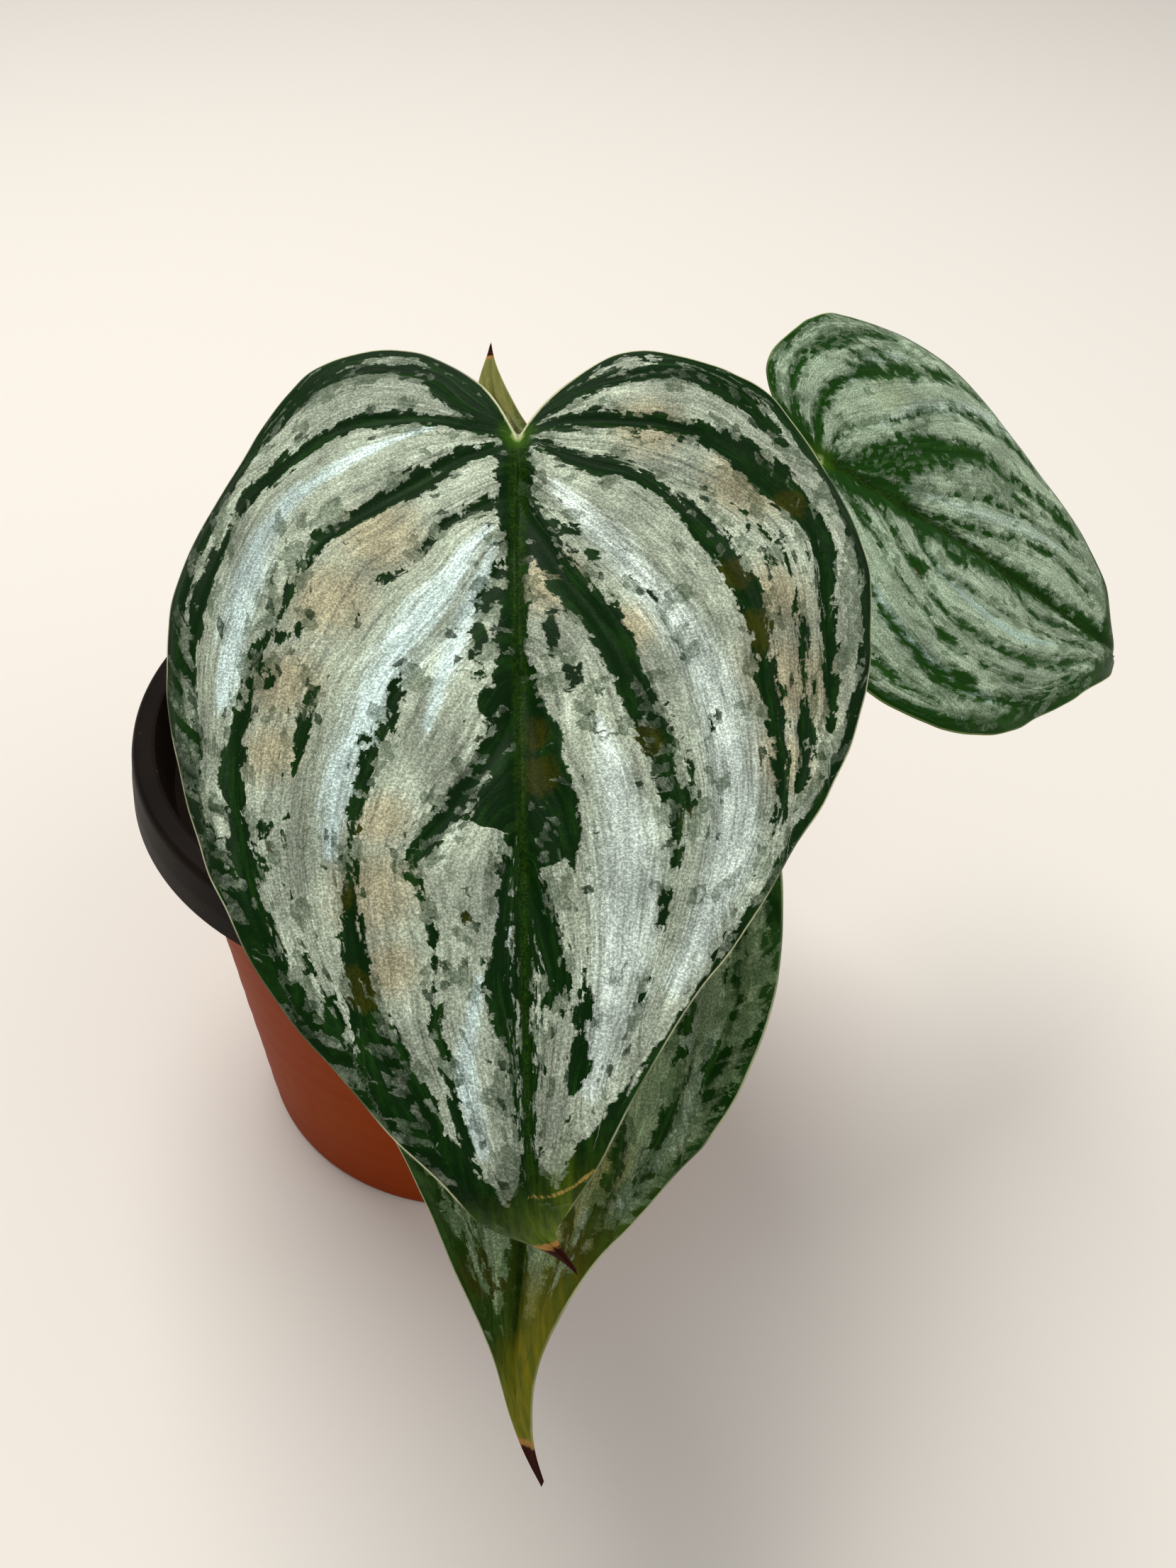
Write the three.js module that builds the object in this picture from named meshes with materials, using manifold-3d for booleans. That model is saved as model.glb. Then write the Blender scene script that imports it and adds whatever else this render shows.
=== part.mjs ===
import * as THREE from "three";
import { mergeVertices } from "three/addons/utils/BufferGeometryUtils.js";
import Module from "manifold-3d";

// A young silver leaf philodendron with four heart-shaped leaves, growing in a small nursery pot.
// Millimetres, +Z up, +X to the right seen from the front, origin at the middle of the pot's base.

const wasm = await Module();
wasm.setup();

// Driving dimensions
const rimRadius = 45; // outside of the pot's rolled rim, at the top
const potHeight = 74.8;
const potWall = 1; // thin formed plastic
const lipWidth = 3.4; // flat top of the rim
const skirtDepth = 7.8; // the rim's down-turned edge
const skirtFlare = 1; // how far the skirt spreads towards its lower edge
const shoulderRadius = 39.7; // body just under the stacking step
const shoulderHeight = 65.3;
const footRadius = 35.2;
const drainRing = { inner: 21, outer: 30.5, rise: 1.2 }; // shallow channel under the base
const drainHole = { count: 8, radius: 3.2, ring: 25.7 };
const potFacets = 48;

const seat = 0.3; // clearance where one piece rests on another
const soilTop = 60.5;
const soilLump = 1.1; // height of the clods on the soil's surface

const bladeThickness = 0.7;
const bladeRows = 32; // along the margin, from the notch to the tip
const bladeColumns = 7; // across each half
const rowCrowding = 1.35; // packs the rows towards the notch, where the veins start
const tipStart = 0.78; // share of the length where the drip tip begins to bend
const socketRow = 0.12; // where the stalk ends under the midrib
const socketDepth = 0.7; // how far below the blade it ends, in stalk radii
const stalkSides = 10;

// Each stem or stalk has its route's points and its radius at the start and at the end.
const stem = {
  route: [[2, 8, 27], [2, 8, 46], [2, 8, 64], [3.6, 5.6, 76], [5.4, 3, 87], [5.2, 3.6, 97]],
  thick: 3.4,
  thin: 0.9,
  nodes: [0.58, 0.66, 0.76, 0.86], // where the leaves grow out, as shares of the route
  nodeSwelling: 0.6,
};

// A leaf's margin goes from the notch round each lobe to the tip, as [along, across] on the flat blade.
// Angles are in degrees: heading from the front towards +X, dip below the horizon, roll about the midrib,
// arch and tipDroop are how far the midrib bends down, and fold is the rise of each half beside the midrib.
// cup is how fast that slope falls away, in radians a millimetre. tipSwing moves the tip sideways.
// A stalk leaves the stem at a share of its route and follows its bends. knee is where it meets the leaf,
// as a distance along the midrib and out of the upper face, from the notch.
const leaves = [
  {
    name: "leaf_1",
    base: [9.8, -17.1, 126.9],
    heading: 3.7, dip: 18.5, roll: 3.9,
    arch: 17, tipDroop: 76, tipSwing: 0.6, fold: 9.8, cup: 0.016,
    length: 90.1,
    right: [[0, 0], [-5.9, 5], [-10.6, 12.2], [-8.3, 22.1], [-4.4, 29.3], [11.5, 36.4], [25.4, 36.4],
      [39, 31.9], [53.2, 22.6], [65.2, 13.3], [75.6, 6.6], [81.5, 2.9], [90.1, 0]],
    left: [[0, 0], [-7.2, 4.3], [-12.3, 12.4], [-10.5, 22.7], [-1.6, 30.2], [12.3, 36.6], [26.4, 37.5],
      [42.7, 32.8], [57.7, 25.2], [71.8, 13.6], [78.3, 7.1], [85.4, 3.2], [90.1, 0]],
    wave: { count: 5, height: 0.6, phase: 0.4 },
    stalk: { from: 0.86, bends: [[9, -8, 104], [11, -15, 116]], knee: [0.3, -3.9], thick: 2, thin: 1.3 },
  },
  {
    name: "leaf_2",
    base: [18.1, -30.8, 102.8],
    heading: -7.9, dip: 44.2, roll: 18.2,
    arch: 9.7, tipDroop: 20, tipSwing: 2.4, fold: 19.5, cup: 0.012,
    length: 92,
    right: [[0, 0], [-5.4, 3.3], [-11.2, 9.3], [-10.3, 16.4], [-2.9, 23.1], [12.3, 25.9], [27.2, 27.5],
      [40.9, 24.4], [52.5, 16.7], [62.6, 9.3], [73.5, 4], [83, 1.5], [92, 0]],
    left: [[0, 0], [-5.4, 3.3], [-11.2, 9.3], [-10.3, 16.4], [-2.7, 23], [10.8, 26.9], [25, 27.4],
      [43, 24.1], [53.2, 16], [64.2, 8.6], [74, 3.2], [83, 1.2], [92, 0]],
    wave: { count: 5, height: 0.6, phase: 2.1 },
    stalk: { from: 0.76, bends: [[11, -9, 86], [17.5, -21, 96.5]], knee: [0.2, -3.6], thick: 1.9, thin: 1.2 },
  },
  {
    name: "leaf_3",
    base: [47.7, 11.4, 109.5],
    heading: 94.2, dip: 30.2, roll: 21.4,
    arch: 9.2, tipDroop: 60, tipSwing: -0.8, fold: 13, cup: 0.014,
    length: 69,
    right: [[0, 0], [-7.7, 3.5], [-10.6, 10.1], [-6.5, 19], [-0.1, 26.3], [8.6, 31.2], [19.6, 31.6],
      [32.1, 27.7], [45.5, 19.8], [54, 11.2], [59.5, 5], [64.6, 2], [69, 0]],
    left: [[0, 0], [-4.2, 3.8], [-8.8, 10.8], [-8.1, 19.1], [-2.1, 26.8], [8.5, 31.3], [21.2, 32.2],
      [32.8, 28], [42.8, 19.6], [51.7, 11], [59.5, 5.2], [64.6, 2.2], [69, 0]],
    wave: { count: 4, height: 0.6, phase: 1.2 },
    stalk: { from: 0.64, bends: [[14, 9, 85], [32, 11, 102]], knee: [0.2, -3.6], thick: 1.8, thin: 1.2 },
  },
  {
    name: "leaf_4",
    base: [9.6, 25, 71.4],
    heading: 200, dip: -54, roll: -4,
    arch: 8, tipDroop: 6, tipSwing: -0.6, fold: 13, cup: 0.014,
    length: 44,
    right: [[0, 0], [-2.2, 2.3], [-5.2, 5.6], [-4.6, 10], [-1, 13.8], [5.4, 15.8], [12.6, 15.8],
      [19.6, 13], [25.6, 8.6], [31, 4.8], [36, 2.8], [40.2, 1.4], [44, 0]],
    left: [[0, 0], [-2.2, 2.3], [-5.2, 5.6], [-4.6, 10], [-1, 13.8], [5.4, 15.8], [12.6, 15.4],
      [19.6, 12], [25.6, 7.4], [31, 3.9], [36, 2], [40.2, 1], [44, 0]],
    wave: { count: 4, height: 0.4, phase: 0 },
    stalk: { from: 0.58, bends: [[4.6, 14, 66.8], [9.2, 20.4, 66.6]], knee: [-3, -2.8], thick: 1.6, thin: 1 },
  },
];

const finishes = {
  pot: { color: "#a8552c", roughness: 0.5, metalness: 0 },
  soil: { color: "#2b1f17", roughness: 0.95, metalness: 0 },
  stem: { color: "#4c7a35", roughness: 0.5, metalness: 0 },
  stalk: { color: "#58863e", roughness: 0.45, metalness: 0 },
  silver: { color: "#93a594", roughness: 0.38, metalness: 0 },
  green: { color: "#4f7350", roughness: 0.42, metalness: 0 },
};

// Solids for joining and cutting
function toSolid(geometry) {
  const bare = geometry.clone();
  bare.deleteAttribute("normal");
  bare.deleteAttribute("uv");
  const merged = mergeVertices(bare, 1e-4);
  return new wasm.Manifold(
    new wasm.Mesh({
      numProp: 3,
      vertProperties: merged.attributes.position.array,
      triVerts: new Uint32Array(merged.index.array),
    }),
  );
}

function toGeometry(solid) {
  const mesh = solid.getMesh();
  const geometry = new THREE.BufferGeometry();
  geometry.setAttribute("position", new THREE.BufferAttribute(mesh.vertProperties, 3));
  geometry.setIndex(new THREE.BufferAttribute(mesh.triVerts, 1));
  geometry.computeVertexNormals();
  return geometry;
}

// The largest body left after a cut, without the scraps.
function mainBody(solid) {
  return solid.decompose().reduce((best, body) => (body.volume() > best.volume() ? body : best));
}

function piece(name, geometry, finish) {
  const mesh = new THREE.Mesh(geometry, new THREE.MeshStandardMaterial(finish));
  mesh.name = name;
  return mesh;
}

// A profile of [radius, height] points turned about the vertical axis.
function turned(profile, facets) {
  const points = profile.map(([radius, height]) => new THREE.Vector2(radius, height));
  return new THREE.LatheGeometry(points, facets).rotateX(Math.PI / 2);
}

// Pot
// The outside runs from the middle of the base up to the rim, and the inside runs back down.
function potProfile() {
  const skirtFoot = potHeight - skirtDepth;
  const lipInner = rimRadius - lipWidth;
  return [
    [0, 0],
    [drainRing.inner - 1, 0],
    [drainRing.inner, drainRing.rise],
    [drainRing.outer, drainRing.rise],
    [drainRing.outer + 1, 0],
    [footRadius - 0.8, 0],
    [footRadius, 0.9],
    [shoulderRadius, shoulderHeight],
    [lipInner + 0.3, shoulderHeight + 1.9],
    [lipInner + 0.9, potHeight - potWall],
    [rimRadius - 1.1, potHeight - potWall],
    [rimRadius + skirtFlare - 1.1, skirtFoot],
    [rimRadius + skirtFlare, skirtFoot],
    [rimRadius + 0.65 * skirtFlare, skirtFoot + 3.4],
    [rimRadius, potHeight - 0.8],
    [rimRadius - 0.7, potHeight],
    [lipInner + 0.7, potHeight],
    [lipInner, potHeight - 0.7],
    [lipInner - 0.7, shoulderHeight + 2.4],
    [shoulderRadius - potWall, shoulderHeight + 0.5],
    [footRadius - potWall, 2.2],
    [footRadius - potWall - 1, potWall],
    [drainRing.outer + 1.3, potWall],
    [drainRing.outer + 0.4, drainRing.rise + potWall],
    [drainRing.inner - 0.4, drainRing.rise + potWall],
    [drainRing.inner - 1.3, potWall],
    [0, potWall],
  ];
}

function makePot() {
  let pot = toSolid(turned(potProfile(), potFacets));
  for (let i = 0; i < drainHole.count; i += 1) {
    const angle = ((i + 0.5) / drainHole.count) * 2 * Math.PI;
    const drill = new THREE.CylinderGeometry(drainHole.radius, drainHole.radius, 8, 12);
    drill.rotateX(Math.PI / 2);
    drill.translate(drainHole.ring * Math.cos(angle), drainHole.ring * Math.sin(angle), 2);
    pot = pot.subtract(toSolid(drill));
  }
  return pot;
}

// Inside radius of the pot's wall at a height below the stacking step.
function innerRadius(height) {
  const rise = (height - 2.2) / (shoulderHeight + 0.5 - 2.2);
  return footRadius - potWall + rise * (shoulderRadius - footRadius);
}

// Soil
function makeSoil(stemHole) {
  const floor = potWall + seat;
  const top = soilTop;
  const side = (height) => innerRadius(height) - seat - 0.1; // the facets of both circles stay apart
  const profile = [
    [0, floor],
    [drainRing.inner - 1.6, floor],
    [drainRing.inner - 0.7, drainRing.rise + floor],
    [drainRing.outer + 0.7, drainRing.rise + floor],
    [side(drainRing.rise + floor + 0.5), drainRing.rise + floor + 0.5],
    [side(top), top],
    [36, top + 0.6],
    [31, top + 0.9],
    [25, top + 1.2],
    [19, top + 1.5],
    [13, top + 1.8],
    [7, top + 2],
    [0, top + 2.1],
  ];
  const body = turned(profile, potFacets);
  const place = body.attributes.position;
  for (let i = 0; i < place.count; i += 1) {
    const x = place.getX(i);
    const y = place.getY(i);
    const onTop = THREE.MathUtils.smoothstep(place.getZ(i), top, top + 0.6);
    const clods = Math.sin(0.41 * x + 0.9) * Math.cos(0.47 * y) + 0.6 * Math.sin(0.83 * x - 0.71 * y);
    place.setZ(i, place.getZ(i) + onTop * soilLump * clods);
  }
  return toSolid(body).subtract(stemHole);
}

// A closed rod along a smooth curve, with the radius a function of the share of its length.
function rod(curve, radiusAt, steps, sides) {
  const frames = curve.computeFrenetFrames(steps, false);
  const vertices = [];
  const faces = [];
  for (let i = 0; i <= steps; i += 1) {
    const middle = curve.getPointAt(i / steps);
    const radius = radiusAt(i / steps);
    for (let j = 0; j < sides; j += 1) {
      const angle = (j / sides) * 2 * Math.PI;
      const point = middle
        .clone()
        .addScaledVector(frames.normals[i], radius * Math.cos(angle))
        .addScaledVector(frames.binormals[i], radius * Math.sin(angle));
      vertices.push(point.x, point.y, point.z);
      if (i < steps) {
        const here = i * sides + j;
        const next = i * sides + ((j + 1) % sides);
        faces.push(here, next, next + sides, here, next + sides, here + sides);
      }
    }
  }
  const start = curve.getPointAt(0);
  const end = curve.getPointAt(1);
  const startIndex = vertices.length / 3;
  vertices.push(start.x, start.y, start.z, end.x, end.y, end.z);
  for (let j = 0; j < sides; j += 1) {
    const next = (j + 1) % sides;
    faces.push(startIndex, next, j);
    faces.push(startIndex + 1, steps * sides + j, steps * sides + next);
  }
  const geometry = new THREE.BufferGeometry();
  geometry.setAttribute("position", new THREE.Float32BufferAttribute(vertices, 3));
  geometry.setIndex(faces);
  return geometry;
}

function smoothCurve(points) {
  return new THREE.CatmullRomCurve3(points.map((point) => new THREE.Vector3(...point)));
}

// Stem
const stemCurve = smoothCurve(stem.route);

// Thins towards the bud and swells where each leaf grows out.
function stemRadius(share, spare) {
  const taper = THREE.MathUtils.lerp(stem.thick, stem.thin, THREE.MathUtils.smoothstep(share, 0.45, 1));
  const swelling = stem.nodes.reduce((sum, node) => sum + Math.exp(-(((share - node) / 0.025) ** 2)), 0);
  return taper + stem.nodeSwelling * swelling + spare;
}

function makeStem(spare) {
  return toSolid(rod(stemCurve, (share) => stemRadius(share, spare), 36, stalkSides));
}

// Straight hole down the soil for the buried end of the stem.
function makeStemHole() {
  const [x, y, foot] = stem.route[0];
  const radius = stem.thick + stem.nodeSwelling + seat;
  const depth = soilTop + 10 - foot;
  const hole = new THREE.CylinderGeometry(radius, radius, depth + seat, 16);
  hole.rotateX(Math.PI / 2);
  hole.translate(x, y, foot - seat + (depth + seat) / 2);
  return toSolid(hole);
}

// Blades
// The margin's point at a share of the way from the notch to the tip, on a smooth curve through the outline.
function marginPoint(outline, share) {
  const last = outline.length - 1;
  const at = Math.min(Math.floor(share * last), last - 1);
  const t = share * last - at;
  const point = (i) => {
    if (i < 0) return outline[0].map((value, axis) => 2 * value - outline[1][axis]);
    if (i > last) return outline[last].map((value, axis) => 2 * value - outline[last - 1][axis]);
    return outline[i];
  };
  const [a, b, c, d] = [point(at - 1), point(at), point(at + 1), point(at + 2)];
  return [0, 1].map(
    (k) =>
      0.5 *
      (2 * b[k] +
        (c[k] - a[k]) * t +
        (2 * a[k] - 5 * b[k] + 4 * c[k] - d[k]) * t * t +
        (3 * b[k] - a[k] - 3 * c[k] + d[k]) * t * t * t),
  );
}

// The midrib's downward angle at a distance along it, in radians.
function midribAngle(leaf, along) {
  const share = along / leaf.length;
  const tip = THREE.MathUtils.smoothstep(share, tipStart, 1);
  return -THREE.MathUtils.degToRad(leaf.arch * share + leaf.tipDroop * tip);
}

// The midrib's place [forward, up] at a distance along it, by summing short steps from the notch.
function midribPlace(leaf, along) {
  const steps = 60;
  const step = along / steps;
  let forward = 0;
  let up = 0;
  for (let i = 0; i < steps; i += 1) {
    const angle = midribAngle(leaf, (i + 0.5) * step);
    forward += Math.cos(angle) * step;
    up += Math.sin(angle) * step;
  }
  return [forward, up];
}

// The leaf's own axes: along the midrib at the notch, across to its right, and out of its upper face.
function leafAxes(leaf) {
  const [heading, dip, roll] = [leaf.heading, leaf.dip, leaf.roll].map(THREE.MathUtils.degToRad);
  const level = new THREE.Vector3(Math.sin(heading), -Math.cos(heading), 0);
  const upward = new THREE.Vector3(0, 0, 1);
  const along = level.clone().multiplyScalar(Math.cos(dip)).addScaledVector(upward, -Math.sin(dip));
  const outward = level.clone().multiplyScalar(Math.sin(dip)).addScaledVector(upward, Math.cos(dip));
  const across = new THREE.Vector3().crossVectors(outward, along);
  return {
    along,
    across: across.clone().multiplyScalar(Math.cos(roll)).addScaledVector(outward, Math.sin(roll)),
    outward: outward.clone().multiplyScalar(Math.cos(roll)).addScaledVector(across, -Math.sin(roll)),
  };
}

// The blade's middle surface in the pot's frame. column goes from -1 at the left margin through 0 at the
// midrib to 1 at the right margin, and row from 0 at the notch to 1 at the tip.
function bladePoint(leaf, column, row) {
  const edge = marginPoint(column < 0 ? leaf.left : leaf.right, row);
  const part = Math.abs(column);
  const rib = leaf.length * row ** rowCrowding;
  const along = rib + (edge[0] - rib) * part;
  const across = Math.max(edge[1], 0) * part;
  const angle = midribAngle(leaf, along);
  const [forward, up] = midribPlace(leaf, along);
  const fold = THREE.MathUtils.degToRad(leaf.fold);
  const slope = fold - leaf.cup * across;
  const { count, height, phase } = leaf.wave;
  const wave = height * part ** 3 * Math.sin(Math.PI * row) * Math.sin(2 * Math.PI * count * row + phase);
  const lift = (Math.cos(slope) - Math.cos(fold)) / leaf.cup + wave;
  const swing = leaf.tipSwing * THREE.MathUtils.smoothstep(along / leaf.length, tipStart, 1.12) * 1.6;
  const side = (Math.sign(column) * (Math.sin(fold) - Math.sin(slope))) / leaf.cup + swing;
  const axes = leafAxes(leaf);
  return new THREE.Vector3(...leaf.base)
    .addScaledVector(axes.along, forward - Math.sin(angle) * lift)
    .addScaledVector(axes.across, side)
    .addScaledVector(axes.outward, up + Math.cos(angle) * lift);
}

// Two like faces, each half the thickness from the middle surface, joined round the margin.
function makeBlade(leaf, thickness) {
  const middle = [bladePoint(leaf, 0, 0)];
  for (let i = 1; i < bladeRows; i += 1) {
    for (let j = -bladeColumns; j <= bladeColumns; j += 1) {
      middle.push(bladePoint(leaf, j / bladeColumns, i / bladeRows));
    }
  }
  middle.push(bladePoint(leaf, 0, 1));
  const count = middle.length;
  const width = 2 * bladeColumns + 1;
  const index = (i, j) => {
    if (i === 0) return 0;
    if (i === bladeRows) return count - 1;
    return 1 + (i - 1) * width + bladeColumns + j;
  };
  const upper = [];
  for (let i = 0; i < bladeRows; i += 1) {
    for (let j = -bladeColumns; j < bladeColumns; j += 1) {
      const [a, b, c, d] = [index(i, j), index(i + 1, j), index(i + 1, j + 1), index(i, j + 1)];
      const halves = j < 0 ? [[a, b, c], [a, c, d]] : [[a, b, d], [b, c, d]];
      upper.push(...halves.filter((face) => new Set(face).size === 3));
    }
  }
  const sheet = new THREE.BufferGeometry().setFromPoints(middle);
  sheet.setIndex(upper.flat());
  sheet.computeVertexNormals();
  const normal = new THREE.Vector3();
  const vertices = [1, -1].flatMap((side) =>
    middle.flatMap((point, i) => {
      normal.fromBufferAttribute(sheet.attributes.normal, i);
      return point.clone().addScaledVector(normal, (side * thickness) / 2).toArray();
    }),
  );
  const rim = [];
  for (let i = 0; i < bladeRows; i += 1) rim.push(index(i, -bladeColumns));
  for (let i = bladeRows; i > 0; i -= 1) rim.push(index(i, bladeColumns));
  const faces = [...upper.flat(), ...upper.flatMap(([a, b, c]) => [c + count, b + count, a + count])];
  rim.forEach((a, k) => {
    const b = rim[(k + 1) % rim.length];
    faces.push(b, a, a + count, b, a + count, b + count);
  });
  const geometry = new THREE.BufferGeometry();
  geometry.setAttribute("position", new THREE.Float32BufferAttribute(vertices, 3));
  geometry.setIndex(faces);
  return toSolid(geometry);
}

// Leaf stalks
// Each leaves the stem at its node and ends under the blade, just past the notch.
function makeStalk(leaf) {
  const { from, bends, knee, thick, thin } = leaf.stalk;
  const axes = leafAxes(leaf);
  const socket = bladePoint(leaf, 0, socketRow).addScaledVector(axes.outward, -socketDepth * thin);
  const bend = new THREE.Vector3(...leaf.base)
    .addScaledVector(axes.along, knee[0])
    .addScaledVector(axes.outward, knee[1]);
  const root = stemCurve.getPointAt(from);
  const curve = smoothCurve([root.toArray(), ...bends, bend.toArray(), socket.toArray()]);
  const sheath = (share) => 0.7 * Math.exp(-share / 0.1); // the base that clasps the stem
  const radiusAt = (share) => THREE.MathUtils.lerp(thick, thin, share) + sheath(share);
  const whole = toSolid(rod(curve, radiusAt, 24, stalkSides));
  const blade = makeBlade(leaf, bladeThickness + 2 * seat);
  return mainBody(whole.subtract(makeStem(seat)).subtract(blade));
}

// Assembly
const plant = new THREE.Group();
plant.add(piece("pot", toGeometry(makePot()), finishes.pot));
plant.add(piece("soil", toGeometry(makeSoil(makeStemHole())), finishes.soil));
plant.add(piece("stem", toGeometry(makeStem(0)), finishes.stem));
for (const leaf of leaves) {
  const finish = leaf.name === "leaf_4" ? finishes.green : finishes.silver;
  plant.add(piece(leaf.name, toGeometry(makeBlade(leaf, bladeThickness)), finish));
  plant.add(piece(leaf.name.replace("leaf", "petiole"), toGeometry(makeStalk(leaf)), finishes.stalk));
}

export default plant;
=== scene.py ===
import math

import bpy
import numpy as np
from mathutils import Matrix, Vector


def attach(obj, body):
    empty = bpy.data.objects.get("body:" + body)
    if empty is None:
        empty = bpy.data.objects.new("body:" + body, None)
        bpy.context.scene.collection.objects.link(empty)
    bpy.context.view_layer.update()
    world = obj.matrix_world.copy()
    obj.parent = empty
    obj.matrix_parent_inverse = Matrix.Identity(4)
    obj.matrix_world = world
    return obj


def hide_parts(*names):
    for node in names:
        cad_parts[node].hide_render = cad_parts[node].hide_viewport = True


# A young silver leaf philodendron in a small nursery pot. Shapes are worked out in millimetres and put
# into the meshes in metres, in the same frame as the solids: +Z up, origin at the middle of the pot's base.
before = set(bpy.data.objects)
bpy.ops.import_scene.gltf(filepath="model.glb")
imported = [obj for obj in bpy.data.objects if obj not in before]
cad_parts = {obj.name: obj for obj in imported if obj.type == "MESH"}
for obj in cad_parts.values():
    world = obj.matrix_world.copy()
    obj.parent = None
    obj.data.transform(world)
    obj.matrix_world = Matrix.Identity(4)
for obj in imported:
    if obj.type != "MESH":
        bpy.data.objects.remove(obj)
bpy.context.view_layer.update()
mm = 0.001


def addObject(name, data):
    # a new object in the scene's main collection, at the origin
    made = bpy.data.objects.new(name, data)
    bpy.context.scene.collection.objects.link(made)
    return made


# Camera
camera = {
    "place": (18.79, -151.48, 199.92),  # millimetres
    "pitchDown": 42.608,  # degrees below level
    "roll": 2.168,  # degrees
    "focal": 1950,  # pixels, where the picture's long side has longSide pixels
    "longSide": 2212,
    "sensor": 36,  # millimetres
    "clip": (0.01, 20),  # metres
}


def makeCamera(c):
    # forward = (0, cos pitch, -sin pitch); right and up are turned about it by the roll
    pitch, roll = math.radians(c["pitchDown"]), math.radians(c["roll"])
    level = np.array([1.0, 0, 0])
    raised = np.array([0, math.sin(pitch), math.cos(pitch)])
    right = math.cos(roll) * level + math.sin(roll) * raised
    up = math.cos(roll) * raised - math.sin(roll) * level
    data = bpy.data.cameras.new("photoCamera")
    data.sensor_width = c["sensor"]
    data.lens = c["sensor"] * c["focal"] / c["longSide"]
    data.clip_start, data.clip_end = c["clip"]
    holder = addObject("photoCamera", data)
    turn = Matrix(np.stack([right, up, np.cross(right, up)], 1).tolist()).to_4x4()
    holder.matrix_world = Matrix.Translation([value * mm for value in c["place"]]) @ turn
    bpy.context.scene.camera = holder


makeCamera(camera)
print("camera placed")


# Shared shapes
def smoothstep(value, low, high):
    # 3t^2 - 2t^3, with t the value's share of the way from low to high
    t = np.clip((value - low) / (high - low), 0, 1)
    return t * t * (3 - 2 * t)


def bell(value, width):
    # exp(-(value / width)^2)
    return np.exp(-((value / width) ** 2))


def curveStretch(points, share):
    # the points with one more beyond each end, the stretch that each share lies in, and how far along it
    points = np.asarray(points, float)
    full = np.vstack([2 * points[0] - points[1], points, 2 * points[-1] - points[-2]])
    at = np.minimum(share.astype(int), len(points) - 2)
    return full, at, (share - at)[..., None]


def marginCurve(points, share):
    # uniform Catmull-Rom curve through the points, at shares 0 to 1 of its point-to-point stretches
    full, at, t = curveStretch(points, share * (len(points) - 1))
    a, b, c, d = full[at], full[at + 1], full[at + 2], full[at + 3]
    return 0.5 * (2 * b + (c - a) * t + (2 * a - 5 * b + 4 * c - d) * t**2 + (3 * b - a - 3 * c + d) * t**3)


def evenCurve(points, count, fineness=60):
    # centripetal Catmull-Rom curve: knots a square root of the gap apart, tangents from the
    # divided differences, then the samples are spread evenly by length
    full, at, t = curveStretch(points, np.linspace(0, len(points) - 1, fineness * len(points)))
    gap = np.sqrt(np.linalg.norm(np.diff(full, axis=0), axis=1))[:, None]
    a, b, c, d = full[at], full[at + 1], full[at + 2], full[at + 3]
    before, here, after = gap[at], gap[at + 1], gap[at + 2]
    start = ((b - a) / before - (c - a) / (before + here) + (c - b) / here) * here
    end = ((c - b) / here - (d - b) / (here + after) + (d - c) / after) * here
    path = b + start * t + (3 * (c - b) - 2 * start - end) * t**2 + (2 * (b - c) + start + end) * t**3
    length = lengthAlong(path)
    wanted = np.linspace(0, length[-1], count)
    return np.stack([np.interp(wanted, length, path[:, k]) for k in range(3)], 1)


def lengthAlong(path):
    # sum of the straight steps up to each point
    return np.concatenate([[0], np.cumsum(np.linalg.norm(np.diff(path, axis=0), axis=1))])


def patchyNoise(x, y, seed, size=64):
    # value noise from 0 to 1: random numbers on whole-number points, eased between them
    table = np.random.default_rng(seed).random((size, size))
    col, row = np.floor(x).astype(int), np.floor(y).astype(int)
    u, v = smoothstep(x - col, 0, 1), smoothstep(y - row, 0, 1)
    near, far = [
        table[col % size, (row + j) % size] * (1 - u) + table[(col + 1) % size, (row + j) % size] * u
        for j in (0, 1)
    ]
    return near * (1 - v) + far * v


def turns(count):
    # angles of a full turn in equal steps
    return np.linspace(0, 2 * np.pi, count, endpoint=False)


def circle(angle):
    # (cos angle, sin angle)
    return np.stack([np.cos(angle), np.sin(angle)], -1)


def gridFaces(rows, columns, wrapped):
    # quads of a rows x columns grid of points, wound so that row x column points out
    last = columns if wrapped else columns - 1
    i, j = np.meshgrid(np.arange(rows - 1), np.arange(last), indexing="ij")
    following = (j + 1) % columns
    here, after = i * columns, (i + 1) * columns
    return np.stack([here + j, after + j, after + following, here + following], -1).reshape(-1, 4)


def closedFaces(rows, columns, turned):
    # a wrapped grid's quads, and fans from its first row to the point after it and from its last row to the
    # point after that; turned winds them all the other way
    quads = gridFaces(rows, columns, True)
    count, around = rows * columns, np.arange(columns)
    following = (around + 1) % columns
    first, second = (following, around) if turned else (around, following)
    last = count - columns
    fans = [
        [np.full(columns, count), first, second],
        [np.full(columns, count + 1), last + second, last + first],
    ]
    return quads[:, ::-1] if turned else quads, np.vstack([np.stack(fan, 1) for fan in fans])


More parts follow.
